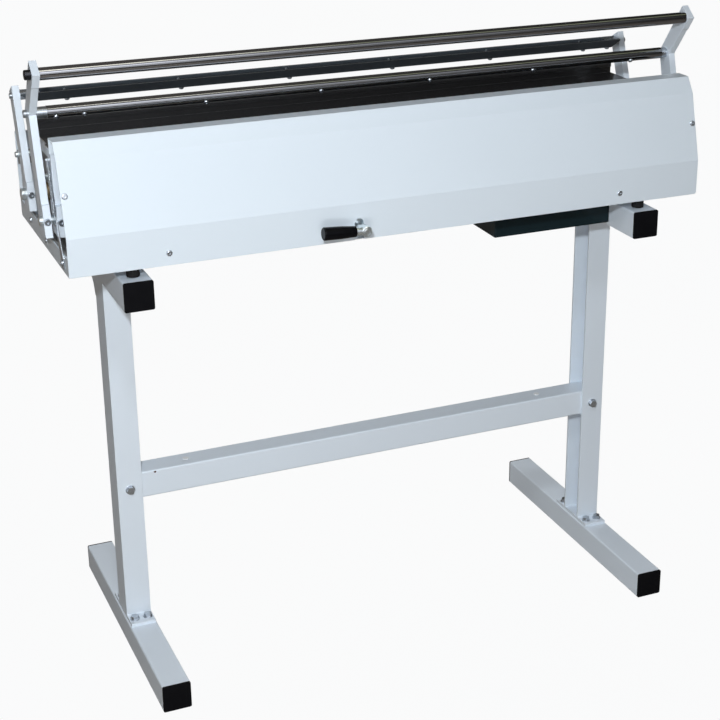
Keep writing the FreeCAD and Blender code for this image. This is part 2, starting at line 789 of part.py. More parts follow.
def screw_row(body, plane, places, face, outward, head_radius, head, length, radius):
    """Add dome screws along the plane's axis. Their heads stand on face, on the outward side."""
    start = face if outward > 0 else face - head
    pad(body, plane, [circle(a, b, head_radius) for a, b in places], start, head)
    axis = {"XY": Z_AXIS, "XZ": Y_AXIS, "YZ": X_AXIS}[plane]
    outer = face + head * outward
    round_rims(body, axis, outer.value, head * DOME_SHARE)
    start = outer - s.socket_depth if outward > 0 else outer
    cut(body, plane, [hexagon(a, b, s.socket_radius) for a, b in places], start, s.socket_depth)
    start = face - length if outward > 0 else face
    pad(body, plane, [circle(a, b, radius) for a, b in places], start, length)


def sheet_screws(body, plane, places, face, outward):
    screw_row(body, plane, places, face, outward, s.screw_head_radius, s.screw_head,
              s.screw_length, s.screw_radius)


def low_screw_places():
    return [(COVER_SCREW_LOW_X * side, COVER_SCREW_LOW) for side in (-1, 1)]


def end_screw_places():
    return [(s.end_screw_middle + s.end_screw_pitch * k, END_SCREW_HEIGHT) for k in (-1, 0, 1)]


def tray_right():
    return LEG_SPREAD - s.tube_width / 2 - s.bar_clearance


def base_pan():
    body = new_body("base_pan")
    reach = BODY_HALF_LENGTH
    pad(body, "XY", [rect(-reach, s.pan_front, reach, s.pan_back)], PAN_BOTTOM, s.pan_wall_height)
    inner = rect(-reach + s.sheet, s.pan_front + s.sheet, reach - s.sheet, s.pan_back - s.sheet)
    cut(body, "XY", [inner], PAN_FLOOR, s.pan_wall_height)
    low = PAN_BOTTOM + s.pan_end_height
    ends = rect(s.pan_front + s.sheet, low, s.pan_back - s.sheet, low + s.pan_wall_height)
    cut(body, "YZ", [ends], -reach - s.sheet, (reach + s.sheet) * 2)
    hole = s.screw_radius + s.screw_clearance
    cut(body, "XZ", [circle(x, z, hole) for x, z in low_screw_places()],
        s.pan_front - s.sheet, (s.pan_back - s.pan_front) + s.sheet * 2)
    cut(body, "YZ", [circle(y, z, hole) for y, z in end_screw_places()], -reach - s.sheet,
        (reach + s.sheet) * 2)
    notch = s.pan_notch_half_width
    cut(body, "XZ", [rect(s.lever_x - notch, PAN_FLOOR, s.lever_x + notch, PAN_FLOOR + s.pan_wall_height)],
        s.pan_front - s.sheet, s.sheet * CUT_SHARE)


def cover_inner_y(height):
    """Inner face of the leaning front panel at a height."""
    rise = COVER_UPPER_BEND - COVER_LOWER_BEND
    share = (height - COVER_LOWER_BEND) / rise
    low = s.pan_front
    high = s.cover_upper_bend_y + s.sheet
    return low + (high - low) * share


def round_corners(body):
    """Round the bottom corners of a cover."""
    def at_corner(edge):
        point = edge.Vertexes[0].Point
        low = near(point.z, PAN_BOTTOM.value) and near(abs(point.x), BODY_HALF_LENGTH.value)
        return low and runs_along(edge, Y_AXIS)
    soften(body, at_corner, s.cover_corner)


def front_cover():
    body = new_body("front_cover")
    wall = s.sheet
    front = s.pan_front - wall
    outline = poly(
        (front, PAN_BOTTOM),
        (front, COVER_LOWER_BEND),
        (s.cover_upper_bend_y, COVER_UPPER_BEND),
        (s.lip_front_y, LIP_HEIGHT),
        (s.lip_back_y, LIP_HEIGHT),
        (s.lip_back_y, LIP_HEIGHT - s.lip_flange_drop),
        (s.lip_back_y - wall, LIP_HEIGHT - s.lip_flange_drop),
        (s.lip_back_y - wall, LIP_HEIGHT - wall),
        (s.lip_front_y + wall * INNER_LIP_SHARE, LIP_HEIGHT - wall),
        (s.cover_upper_bend_y + wall * INNER_BEND_SHARE, COVER_UPPER_BEND - wall * INNER_DROP_SHARE),
        (s.pan_front, COVER_LOWER_BEND),
        (s.pan_front, PAN_BOTTOM))
    reach = BODY_HALF_LENGTH
    pad(body, "YZ", [outline], -reach, reach * 2)
    round_corners(body)
    across = s.notch_half_width
    slot = rect(s.lever_x - across, PAN_BOTTOM - wall, s.lever_x + across, NOTCH_CENTRE_HEIGHT)
    cut(body, "XZ", [slot], front - wall, wall * CUT_SHARE)
    cut(body, "XZ", [circle(s.lever_x, NOTCH_CENTRE_HEIGHT, across)], front - wall, wall * CUT_SHARE)
    hole = s.screw_radius + s.screw_clearance
    cut(body, "XZ", [circle(x, z, hole) for x, z in low_screw_places()], front - wall, wall * CUT_SHARE)
    high = [circle(COVER_SCREW_HIGH_X * side, COVER_SCREW_HIGH, hole * OVER_SHARE) for side in (-1, 1)]
    cut(body, "XZ", high, front - wall, (s.cover_upper_bend_y - front) + wall)


def rear_cover():
    body = new_body("rear_cover")
    wall = s.sheet
    back = s.pan_back + wall
    outline = poly(
        (s.pan_back, PAN_BOTTOM),
        (back, PAN_BOTTOM),
        (back, REAR_BEND),
        (s.rear_top_y, REAR_TOP),
        (s.rear_top_y, REAR_TOP - wall),
        (s.pan_back, REAR_BEND - wall * REAR_BEND_SHARE))
    reach = BODY_HALF_LENGTH
    pad(body, "YZ", [outline], -reach, reach * 2)
    round_corners(body)
    narrow = s.bed_half_length
    for side in (-1, 1):
        start = span(side, narrow, reach - narrow + wall)
        corner = rect(start, s.rear_top_y - wall, start + (reach - narrow + wall), s.pan_back - wall)
        cut(body, "XY", [corner], REAR_BEND - wall * CUT_SHARE, REAR_TOP - REAR_BEND + wall * (CUT_SHARE * 2))
    hole = s.screw_radius + s.screw_clearance
    cut(body, "XZ", [circle(x, z, hole) for x, z in rear_screw_places()], s.pan_back - wall, wall * CUT_SHARE)


def rear_screw_places():
    return low_screw_places() + [(COVER_SCREW_HIGH_X * side, REAR_SCREW_HIGH) for side in (-1, 1)]


def cover_screws():
    body = new_body("cover_screws")
    sheet_screws(body, "XZ", low_screw_places(), s.pan_front - s.sheet, -1)
    sheet_screws(body, "XZ", rear_screw_places(), s.pan_back + s.sheet, 1)
    upper = new_body("cover_upper_screws")
    places = [(COVER_SCREW_HIGH_X * side, ZERO) for side in (-1, 1)]
    sheet_screws(upper, "XZ", places, ZERO, -1)
    lean = math.degrees(math.atan2(
        s.cover_upper_bend_y.value - (s.pan_front - s.sheet).value,
        (COVER_UPPER_BEND - COVER_LOWER_BEND).value))
    outer = cover_inner_y(COVER_SCREW_HIGH) - s.sheet
    place(upper, ZERO, outer, COVER_SCREW_HIGH, X_AXIS, -lean)


def end_screws():
    body = new_body("end_screws")
    first, *others = end_screw_places()
    for side in (-1, 1):
        sheet_screws(body, "YZ", others, BODY_HALF_LENGTH * side, side)
        sheet_screws(body, "YZ", [first], (BODY_HALF_LENGTH + s.anchor_wall) * side, side)


# Side frames, bed and rails

def stop_y(low_y, low, high_y, high):
    """Where a stop pin stands behind an arm whose rear edge runs between two points."""
    across = high_y - low_y
    rise = high - low
    edge = low_y + across * (STOP_HEIGHT - low) / rise
    return edge + (s.stop_radius + s.stop_gap) * hypotenuse(across, rise) / rise


def stop_places():
    front = stop_y(s.front_block_top_back, FRONT_BLOCK_TOP, s.front_knee_back, FRONT_KNEE)
    rear = stop_y(s.rear_arm_start_back, REAR_BLOCK_TOP, s.rear_top_back, REAR_TOP_BACK_HEIGHT)
    return [(front, STOP_HEIGHT), (rear, STOP_HEIGHT)]


def rail_screw_places():
    middle = BED_TOP - s.sheet - s.rail_height / 2
    return [(s.rail_start + s.rail_screw_margin, middle), (s.rail_end - s.rail_screw_margin, middle)]


def side_frame(side):
    body = new_body(side_name(side) + "_side_frame")
    under_bed = BED_TOP - s.sheet
    tab_low = cover_inner_y(TAB_BOTTOM) + s.tab_gap
    tab_high = cover_inner_y(TAB_TOP) + s.tab_gap
    wall = s.tab_wall
    outline = poly(
        (s.frame_front, PAN_FLOOR),
        (s.frame_back, PAN_FLOOR),
        (s.frame_back, FRAME_BACK_SHOULDER),
        (s.frame_back_top_y, FRAME_BACK_TOP),
        (s.bed_back - s.sheet, under_bed),
        (s.bed_front + s.sheet + s.bed_clearance, under_bed),
        (s.bed_front + s.sheet + s.bed_clearance, BED_FRONT_FLANGE - s.sheet),
        (s.frame_neck_y, FRAME_FRONT_TOP),
        (tab_high + wall, FRAME_FRONT_TOP),
        (tab_high + wall, TAB_TOP),
        (tab_low + wall, TAB_BOTTOM))
    inner = FRAME_OUTER - s.frame_wall
    pad(body, "YZ", [outline], span(side, inner, s.frame_wall), s.frame_wall)
    tab = poly((tab_low, TAB_BOTTOM), (tab_low + wall, TAB_BOTTOM),
               (tab_high + wall, TAB_TOP), (tab_high, TAB_TOP))
    length = TAB_END - inner
    pad(body, "YZ", [tab], span(side, inner, length), length)
    ear_low = REAR_SCREW_HIGH - TAB_TOP / 2 + TAB_BOTTOM / 2
    ear_high = REAR_SCREW_HIGH + TAB_TOP / 2 - TAB_BOTTOM / 2
    arm = rect(s.frame_back - wall, ear_low, s.pan_back - s.tab_gap, ear_high)
    pad(body, "YZ", [arm], span(side, inner, s.frame_wall), s.frame_wall)
    ear = rect(s.pan_back - s.tab_gap - wall, ear_low, s.pan_back - s.tab_gap, ear_high)
    pad(body, "YZ", [ear], span(side, inner, length), length)
    reach = BODY_HALF_LENGTH - s.sheet
    foot = rect(s.frame_front, PAN_FLOOR, s.frame_back, PAN_FLOOR + s.foot_leg)
    pad(body, "YZ", [foot], span(side, inner, reach - inner), reach - inner)
    top = PAN_BOTTOM + s.pan_end_height
    rim = rect(s.frame_front, PAN_FLOOR, s.frame_back, top)
    pad(body, "YZ", [rim], span(side, reach - s.foot_leg, s.foot_leg), s.foot_leg)
    cuts = [
        circle(s.front_pivot_y, PIVOT_HEIGHT, s.tube_radius + s.bush_wall + s.clamp_clearance),
        circle(s.rear_pivot_y, PIVOT_HEIGHT, s.rear_shaft_radius + s.bush_wall + s.clamp_clearance)]
    cuts += [circle(y, z, s.stop_radius + s.clamp_clearance) for y, z in stop_places()]
    cuts += [circle(y, z, s.screw_radius + s.screw_clearance) for y, z in rail_screw_places()]
    cut(body, "YZ", cuts, span(side, inner, s.frame_wall), s.frame_wall)
    hole = s.screw_radius + s.screw_clearance
    ends = [circle(y, z, hole) for y, z in end_screw_places()]
    cut(body, "YZ", ends, span(side, reach - s.foot_leg, s.foot_leg), s.foot_leg)
    backs = [circle(COVER_SCREW_HIGH_X * side, REAR_SCREW_HIGH, hole)]
    cut(body, "XZ", backs, s.pan_back - s.tab_gap - wall * OVER_SHARE, wall * 2)
    fronts = [circle(COVER_SCREW_HIGH_X * side, COVER_SCREW_HIGH, hole * OVER_SHARE)]
    cut(body, "XZ", fronts, tab_low - wall, tab_high - tab_low + wall * CUT_SHARE)


def bed_plate():
    """The table, with a front flange and a hemmed upstand at the back."""
    body = new_body("bed_plate")
    wall = s.sheet
    top = BED_HEM_BOTTOM + s.bed_hem
    outline = poly(
        (s.bed_front, BED_FRONT_FLANGE),
        (s.bed_front, BED_TOP),
        (s.bed_back - wall, BED_TOP),
        (s.bed_back - wall, BED_HEM_BOTTOM),
        (s.bed_back - wall * 2, BED_HEM_BOTTOM),
        (s.bed_back - wall * 2, top),
        (s.bed_back, top),
        (s.bed_back, BED_TOP - wall),
        (s.bed_front + wall, BED_TOP - wall),
        (s.bed_front + wall, BED_FRONT_FLANGE))
    reach = s.bed_half_length
    pad(body, "YZ", [outline], -reach, reach * 2)

    def at_top(edge):
        return runs_along(edge, X_AXIS) and near(edge.Vertexes[0].Z, top.value)
    soften(body, at_top, s.bed_hem_edge)


def rails():
    top = BED_TOP - s.sheet
    wall = s.bed_half_length - FRAME_OUTER
    body = new_body("bed_rails")
    screws = new_body("rail_screws")
    outline = rect(s.rail_start, top - s.rail_height, s.rail_end, top)
    holes = [circle(y, z, s.screw_radius + s.screw_clearance) for y, z in rail_screw_places()]
    for side in (-1, 1):
        pad(body, "YZ", [outline] + holes, span(side, FRAME_OUTER, wall), wall)
        screw_row(screws, "YZ", rail_screw_places(), s.bed_half_length * side, side, s.row_head_radius,
                  s.screw_head, wall + s.frame_wall / 2, s.screw_radius)


def stop_pins():
    body = new_body("arm_stop_pins")
    inner = FRAME_OUTER - s.frame_wall
    length = STOP_END - inner
    for side in (-1, 1):
        pad(body, "YZ", [circle(y, z, s.stop_radius) for y, z in stop_places()],
            span(side, inner, length), length)
    for side in (-1, 1):
        round_rims(body, X_AXIS, (STOP_END * side).value, s.shaft_chamfer, "Chamfer")


# Pivots

def bushings():
    body = new_body("pivot_bushings")
    inner = FRAME_OUTER - s.frame_wall
    for y, radius in ((s.front_pivot_y, s.tube_radius), (s.rear_pivot_y, s.rear_shaft_radius)):
        bore = circle(y, PIVOT_HEIGHT, radius + s.running_clearance)
        sleeve = circle(y, PIVOT_HEIGHT, radius + s.bush_wall)
        flange = circle(y, PIVOT_HEIGHT, radius + s.bush_wall + s.bush_flange)
        for side in (-1, 1):
            pad(body, "YZ", [sleeve, bore], span(side, inner, s.frame_wall), s.frame_wall)
            pad(body, "YZ", [flange, bore], span(side, FRAME_OUTER, s.bush_flange_wall), s.bush_flange_wall)


def shafts():
    for name, y, radius, end in (
            ("front_pivot_shaft", s.front_pivot_y, s.shaft_radius, FRONT_SHAFT_END),
            ("rear_pivot_shaft", s.rear_pivot_y, s.rear_shaft_radius, REAR_SHAFT_END)):
        body = new_body(name)
        pad(body, "YZ", [circle(y, PIVOT_HEIGHT, radius)], -end, end * 2)
        for side in (-1, 1):
            round_rims(body, X_AXIS, (end * side).value, s.shaft_chamfer, "Chamfer")
    tube = new_body("clamp_tube")
    end = CLAMP_ARM_OUTER
    pad(tube, "YZ", [circle(s.front_pivot_y, PIVOT_HEIGHT, s.tube_radius),
                     circle(s.front_pivot_y, PIVOT_HEIGHT, s.shaft_radius + s.running_clearance)],
        -end, end * 2)


# Front swing frame

def front_arm(side):
    body = new_body(side_name(side) + "_front_arm")
    outline = poly(
        (s.front_block_low_front, FRONT_BLOCK_LOW),
        (s.front_block_low_back, FRONT_BLOCK_LOW),
        (s.front_block_top_back, FRONT_BLOCK_TOP),
        (s.front_knee_back, FRONT_KNEE),
        (s.front_top_y, FRONT_TOP),
        (s.front_tip_front, FRONT_TIP),
        (s.front_pad_y, HANDLE_HEIGHT - s.front_pad_drop),
        (s.front_notch_y, HANDLE_HEIGHT - s.front_notch_drop),
        (s.front_knee_front, FRONT_KNEE),
        (s.front_arm_start, FRONT_BLOCK_TOP),
        (s.front_block_top_front, FRONT_BLOCK_TOP))
    start = span(side, FRONT_ARM_OUTER - s.arm_wall, s.arm_wall)
    holes = [
        circle(s.front_pivot_y, PIVOT_HEIGHT, s.shaft_radius + s.clamp_clearance),
        circle(s.handle_y, HANDLE_HEIGHT, s.end_bolt_radius + s.bolt_clearance),
        circle(s.fold_bar_y, FOLD_BAR_HEIGHT, s.end_bolt_radius + s.bolt_clearance)]
    pad(body, "YZ", [outline] + holes, start, s.arm_wall)
    middle = (FRONT_ARM_OUTER - s.arm_wall / 2) * side
    low = s.front_block_low_front - s.arm_screw_head
    head = circle(middle, ARM_SCREW_HEIGHT, s.arm_screw_head_radius + s.counterbore_clearance)
    cut(body, "XZ", [head], low, s.front_screw_seat - low)
    shank = circle(middle, ARM_SCREW_HEIGHT, s.arm_screw_radius + s.clamp_clearance)
    cut(body, "XZ", [shank], s.front_screw_seat, s.front_pivot_y - s.front_screw_seat)
    if side > 0:
        head = circle(s.handle_y, HANDLE_HEIGHT, s.handle_head_radius + s.counterbore_clearance)
        cut(body, "YZ", [head], FRONT_ARM_OUTER - s.handle_sunk_head, s.handle_sunk_head)


def rod(name, y, z, start, end):
    body = new_body(name)
    pad(body, "YZ", [circle(y, z, s.rod_radius)], start, end - start)
    bore = circle(y, z, s.end_bolt_radius + s.clamp_clearance)
    cut(body, "YZ", [bore], start, s.end_bolt_depth)
    cut(body, "YZ", [bore], end - s.end_bolt_depth, s.end_bolt_depth)
    return body


def end_bolts(name, y, z, head_radius, ends):
    """Socket bolts that hold a rod between the arms.

    Each end has its side, the end of the rod, the place of the seat and the height of the head.
    """
    body = new_body(name)
    for side, end, seat, head in ends:
        shank = seat - end * side + s.end_bolt_depth - s.shaft_chamfer
        pad(body, "YZ", [circle(y, z, s.end_bolt_radius)], span(side, seat - shank, shank), shank)
        pad(body, "YZ", [circle(y, z, head_radius)], span(side, seat, head), head)
        deep = head * SOCKET_DEPTH_SHARE
        socket = hexagon(y, z, head_radius * SOCKET_SHARE)
        cut(body, "YZ", [socket], span(side, seat + head - deep, deep), deep)
    for side, end, seat, head in ends:
        round_rims(body, X_AXIS, ((seat + head) * side).value, s.shaft_chamfer, "Chamfer")


def fold_screw_places():
    spots = [FOLD_SCREW_PITCH * (k + HALF) for k in range(-3, 3)]
    return spots + [FOLD_SCREW_END]


def front_bars():
    inner = FRONT_ARM_OUTER - s.arm_wall
    rod("handle_bar", s.handle_y, HANDLE_HEIGHT, -inner, inner)
    outer = FRONT_ARM_OUTER
    sunk = s.handle_sunk_head
    end_bolts("handle_bar_bolts", s.handle_y, HANDLE_HEIGHT, s.handle_head_radius,
              [(-1, -inner, outer, s.handle_head), (1, inner, outer - sunk, sunk)])
    bar = rod("front_fold_bar", ZERO, ZERO, FOLD_BAR_LEFT, FOLD_BAR_RIGHT)
    hole = s.screw_radius + s.clamp_clearance
    deep = s.rod_radius * SOCKET_DEPTH_SHARE
    flat = s.rod_radius - s.shaft_chamfer * HALF
    seats = [circle(x, ZERO, s.row_head_radius + s.screw_clearance) for x in fold_screw_places()]
    cut(bar, "XZ", seats, -s.rod_radius * OVER_SHARE, s.rod_radius * OVER_SHARE - flat)
    cut(bar, "XZ", [circle(x, ZERO, hole) for x in fold_screw_places()], -flat, deep)
    place(bar, ZERO, s.fold_bar_y, FOLD_BAR_HEIGHT, X_AXIS, FOLD_SCREW_TURN)
    screws = new_body("fold_bar_screws")
    screw_row(screws, "XZ", [(x, ZERO) for x in fold_screw_places()], -flat, -1,
              s.row_head_radius, s.row_head, deep - s.shaft_chamfer, s.screw_radius)
    place(screws, ZERO, s.fold_bar_y, FOLD_BAR_HEIGHT, X_AXIS, FOLD_SCREW_TURN)
    spacers = new_body("fold_bar_spacers")
    ring = [circle(s.fold_bar_y, FOLD_BAR_HEIGHT, s.spacer_radius),
            circle(s.fold_bar_y, FOLD_BAR_HEIGHT, s.end_bolt_radius + s.bolt_clearance)]
    pad(spacers, "YZ", ring, -inner, FOLD_BAR_LEFT + inner)
    pad(spacers, "YZ", ring, FOLD_BAR_RIGHT, inner - FOLD_BAR_RIGHT)
    end_bolts("fold_bar_bolts", s.fold_bar_y, FOLD_BAR_HEIGHT, s.fold_head_radius,
              [(-1, FOLD_BAR_LEFT, outer, s.fold_head), (1, FOLD_BAR_RIGHT, outer, s.fold_head)])


# Rear swing frame

def rear_arm(side):
    body = new_body(side_name(side) + "_rear_arm")
    outline = poly(
        (s.rear_block_low_front, REAR_BLOCK_LOW),
        (s.rear_block_low_back, REAR_BLOCK_LOW),
        (s.rear_block_top_back, REAR_BLOCK_TOP),
        (s.rear_arm_start_back, REAR_BLOCK_TOP),
        (s.rear_top_back, REAR_TOP_BACK_HEIGHT),
        (s.rear_tip_front, REAR_TIP),
        (s.rear_arm_start, REAR_BLOCK_TOP),
        (s.rear_block_top_front, REAR_BLOCK_TOP))
    start = span(side, REAR_ARM_OUTER - s.arm_wall, s.arm_wall)
    holes = [
        circle(s.rear_pivot_y, PIVOT_HEIGHT, s.rear_shaft_radius + s.clamp_clearance),
        circle(s.channel_screw_y, block_middle(), s.end_block_bolt_radius + s.screw_clearance)]
    pad(body, "YZ", [outline] + holes, start, s.arm_wall)
    middle = (REAR_ARM_OUTER - s.arm_wall / 2) * side
    low = s.rear_block_low_front - s.arm_screw_head
    head = circle(middle, ARM_SCREW_HEIGHT, s.arm_screw_head_radius + s.counterbore_clearance)
    cut(body, "XZ", [head], low, s.rear_screw_seat - low)
    shank = circle(middle, ARM_SCREW_HEIGHT, s.arm_screw_radius + s.clamp_clearance)
    cut(body, "XZ", [shank], s.rear_screw_seat, s.rear_pivot_y - s.rear_screw_seat)


def block_middle():
    return (END_BLOCK_BOTTOM + END_BLOCK_TOP) / 2


def channel_screw_places():
    spots = [CHANNEL_SCREW_PITCH * (k + HALF) for k in range(-3, 3)]
    return [(x, s.channel_row_y) for x in spots + [CHANNEL_SCREW_END]]


def folding_channel():
    body = new_body("rear_folding_channel")
    wall = s.channel_wall
    low = CHANNEL_BOTTOM
    reach = REAR_ARM_OUTER - s.arm_wall
    outline = poly(
        (s.channel_front, low), (s.channel_back, low),
        (s.channel_back, low + s.channel_back_height),
        (s.channel_back - wall, low + s.channel_back_height),
        (s.channel_back - wall, low + wall),
        (s.channel_front + wall, low + wall),
        (s.channel_front + wall, low + s.channel_front_height),
        (s.channel_front, low + s.channel_front_height))
    pad(body, "YZ", [outline], -reach, reach * 2)
    for side in (-1, 1):
        end = reach * side
        corner = poly((CHANNEL_FRONT_END * side, low), (end, low), (end, low + s.channel_front_height - wall))
        cut(body, "XZ", [corner], s.channel_front, s.channel_back - wall - s.channel_front)
    hole = s.screw_radius + s.screw_clearance
    cut(body, "XY", [circle(x, y, hole) for x, y in channel_screw_places()], low, wall)
    pins = [circle(x, PIN_HEIGHT, s.pin_radius + s.clamp_clearance) for x, y in channel_screw_places()[:-1]]
    cut(body, "XZ", pins, s.channel_back - wall, wall)
    top = low + s.channel_back_height

    def at_top(edge):
        return runs_along(edge, X_AXIS) and near(edge.Vertexes[0].Z, top.value)
    soften(body, at_top, s.channel_edge)
    screws = new_body("channel_screws")
    screw_row(screws, "XY", channel_screw_places(), low, -1,
              s.channel_head_radius, s.channel_head, wall + s.bolt_clearance, s.screw_radius)
    places = [circle(x, PIN_HEIGHT, s.pin_radius) for x, y in channel_screw_places()[:-1]]
    pad(screws, "XZ", places, s.channel_back - wall - s.pin_reach, wall + s.pin_reach)


def end_blocks():
    body = new_body("channel_end_blocks")
    reach = REAR_ARM_OUTER - s.arm_wall
    length = reach - END_BLOCK_START
    margin = s.end_block_margin
    profile = rect(s.channel_front + margin, END_BLOCK_BOTTOM,
                   s.channel_back - margin, END_BLOCK_TOP)
    bolt = circle(s.channel_screw_y, block_middle(), s.end_block_bolt_radius + s.clamp_clearance)
    for side in (-1, 1):
        pad(body, "YZ", [profile, bolt], span(side, END_BLOCK_START, length), length)
    bolts = new_body("channel_end_bolts")
    outer = REAR_ARM_OUTER
    shank = s.arm_wall + s.end_block_bolt_depth
    for side in (-1, 1):
        pad(bolts, "YZ", [circle(s.channel_screw_y, block_middle(), s.end_block_bolt_radius)],
            span(side, outer - shank, shank), shank)
        pad(bolts, "YZ", [circle(s.channel_screw_y, block_middle(), s.end_block_head_radius)],
            span(side, outer, s.end_block_head), s.end_block_head)
        deep = s.end_block_head * SOCKET_DEPTH_SHARE
        cut(bolts, "YZ", [hexagon(s.channel_screw_y, block_middle(), s.end_block_head_radius * SOCKET_SHARE)],
            span(side, outer + s.end_block_head - deep, deep), deep)


def arm_screws():
    """Socket screws that clamp the arm blocks on their shafts."""
    for name, outer, wall, seat, touch in (
            ("front_arm_screws", FRONT_ARM_OUTER, s.arm_wall, s.front_screw_seat,
             s.front_pivot_y - s.shaft_radius),
            ("rear_arm_screws", REAR_ARM_OUTER, s.arm_wall, s.rear_screw_seat,
             s.rear_pivot_y - s.rear_shaft_radius),
            ("clamp_arm_screws", CLAMP_ARM_OUTER, s.clamp_arm_wall, s.clamp_block_front,
             s.front_pivot_y - s.tube_radius)):
        body = new_body(name)
        places = [((outer - wall / 2) * side, ARM_SCREW_HEIGHT) for side in (-1, 1)]
        pad(body, "XZ", [circle(x, z, s.arm_screw_head_radius) for x, z in places],
            seat - s.arm_screw_head, s.arm_screw_head)
        deep = s.arm_screw_head * SOCKET_DEPTH_SHARE
        front = seat - s.arm_screw_head
        cut(body, "XZ", [hexagon(x, z, s.arm_screw_socket) for x, z in places], front, deep)
        pad(body, "XZ", [circle(x, z, s.arm_screw_radius) for x, z in places],
            seat, touch - seat - s.bolt_clearance)


# Clamp frame

def clamp_arm(side):
    body = new_body(side_name(side) + "_clamp_arm")
    outline = poly(
        (s.clamp_block_front, CLAMP_BLOCK_LOW),
        (s.clamp_block_back, CLAMP_BLOCK_LOW),
        (s.clamp_block_back, CLAMP_BLOCK_TOP),
        (s.clamp_arm_back, CLAMP_BLOCK_TOP),
        (s.clamp_arm_back, CLAMP_ARM_TOP),
        (s.clamp_arm_front, CLAMP_ARM_TOP),
        (s.clamp_arm_front, CLAMP_BLOCK_TOP),
        (s.clamp_block_front, CLAMP_BLOCK_TOP))
    inner = CLAMP_ARM_OUTER - s.clamp_arm_wall
    bore = circle(s.front_pivot_y, PIVOT_HEIGHT, s.tube_radius + s.clamp_clearance)
    pad(body, "YZ", [outline, bore], span(side, inner, s.clamp_arm_wall), s.clamp_arm_wall)
    pin = SPRING_PIN_END - inner
    pad(body, "YZ", [circle(s.spring_pin_y, SPRING_PIN_HEIGHT, s.spring_pin_radius)],
        span(side, inner, pin), pin)
    middle = (CLAMP_ARM_OUTER - s.clamp_arm_wall / 2) * side
    shank = circle(middle, ARM_SCREW_HEIGHT, s.arm_screw_radius + s.clamp_clearance)
    cut(body, "XZ", [shank], s.clamp_block_front, s.front_pivot_y - s.clamp_block_front - s.tube_radius)


def clamp_bar():
    body = new_body("clamp_bar")
    wall = s.clamp_bar_wall
    low = CLAMP_ARM_TOP
    outline = poly(
        (s.clamp_bar_front, low), (s.clamp_bar_back, low), (s.clamp_bar_back, low + wall),
        (s.clamp_bar_front + wall, low + wall), (s.clamp_bar_front + wall, CLAMP_BAR_HEIGHT),
        (s.clamp_bar_front, CLAMP_BAR_HEIGHT))
    reach = CLAMP_BAR_HALF_LENGTH
    pad(body, "YZ", [outline], -reach, reach * 2)
    strip = new_body("clamp_strip")
    reach = STRIP_HALF_LENGTH
    front = s.lip_back_y + s.strip_gap
    pad(strip, "YZ", [rect(front, STRIP_BOTTOM, s.clamp_bar_front, STRIP_TOP)], -reach, reach * 2)


def anchors():
    body = new_body("spring_anchors")
    row, height = end_screw_places()[0]
    foot = s.anchor_half_foot
    half = s.anchor_half_width
    strip = poly(
        (row - foot, ANCHOR_BOTTOM), (row + foot, ANCHOR_BOTTOM),
        (row + foot, ANCHOR_SHOULDER), (s.spring_low_y + half, ANCHOR_NECK),
        (s.spring_low_y + half, ANCHOR_TOP), (s.spring_low_y - half, ANCHOR_TOP),
        (s.spring_low_y - half, ANCHOR_NECK), (row - foot, ANCHOR_SHOULDER))
    hole = circle(row, height, s.screw_radius + s.screw_clearance)
    for side in (-1, 1):
        pad(body, "YZ", [strip, hole], span(side, BODY_HALF_LENGTH, s.anchor_wall), s.anchor_wall)


# Lever

def lever():
    shaft = new_body("lever_shaft")
    pad(shaft, "XZ", [circle(s.lever_x, LEVER_HEIGHT, s.lever_shaft_radius)], s.lever_shaft_front,
        s.lever_shaft_back - s.lever_shaft_front)
    round_rims(shaft, Y_AXIS, s.lever_shaft_front.value, s.shaft_chamfer, "Chamfer")
    bore = circle(ZERO, ZERO, s.lever_shaft_radius + s.clamp_clearance)
    hub = new_body("lever_hub")
    pad(hub, "XZ", [circle(ZERO, ZERO, s.hub_radius), bore], ZERO, s.hub_length)
    outer_rim = lambda edge: near(edge.BoundBox.YMax, 0) and near(edge.BoundBox.XMax, s.hub_radius.value)
    soften(hub, outer_rim, s.shaft_chamfer, "Chamfer")
    half = s.hub_length / 2
    pad(hub, "YZ", [circle(half, ZERO, s.neck_radius)], -s.grip_start, s.grip_start)
    cut(hub, "XZ", [bore], -s.hub_length, s.hub_length * CUT_SHARE)
    front = s.lever_shaft_front + s.hub_inset
    place(hub, s.lever_x, front, LEVER_HEIGHT, Y_AXIS, LEVER_TILT)
    grip = new_body("lever_grip")
    profile = poly(
        (-s.grip_start, ZERO), (-s.grip_start, s.grip_near_radius),
        (-(s.grip_start + (s.grip_end - s.grip_start) * GRIP_BELLY_SHARE),
         s.grip_near_radius + (s.grip_far_radius - s.grip_near_radius) * GRIP_SWELL_SHARE),
        (-s.grip_end + s.grip_edge, s.grip_far_radius), (-s.grip_end, s.grip_far_radius - s.grip_edge),
        (-s.grip_end, ZERO))
    sketch = draw(grip, "XZ", [profile], ZERO)
    turned = grip.newObject("PartDesign::Revolution", "lever_grip_turned")
    turned.Profile = sketch
    turned.ReferenceAxis = (sketch, ["H_Axis"])
    turned.Angle = 360.0
    doc.recompute()
    place(grip, s.lever_x, front + half, LEVER_HEIGHT, Y_AXIS, LEVER_TILT)
    bearing()
    cam()
    follower()


def bearing():
    body = new_body("lever_bearing")
    half = s.bearing_half_width
    block = rect(s.lever_x - half, PAN_FLOOR, s.lever_x + half, PAN_FLOOR + s.bearing_rise)
    bore = circle(s.lever_x, LEVER_HEIGHT, s.lever_shaft_radius + s.running_clearance)
    pad(body, "XZ", [block, bore], s.bearing_front, s.bearing_back - s.bearing_front)
    soften(body, lambda edge: runs_along(edge, Y_AXIS) and edge.Vertexes[0].Z > LEVER_HEIGHT.value,
           s.tube_corner)


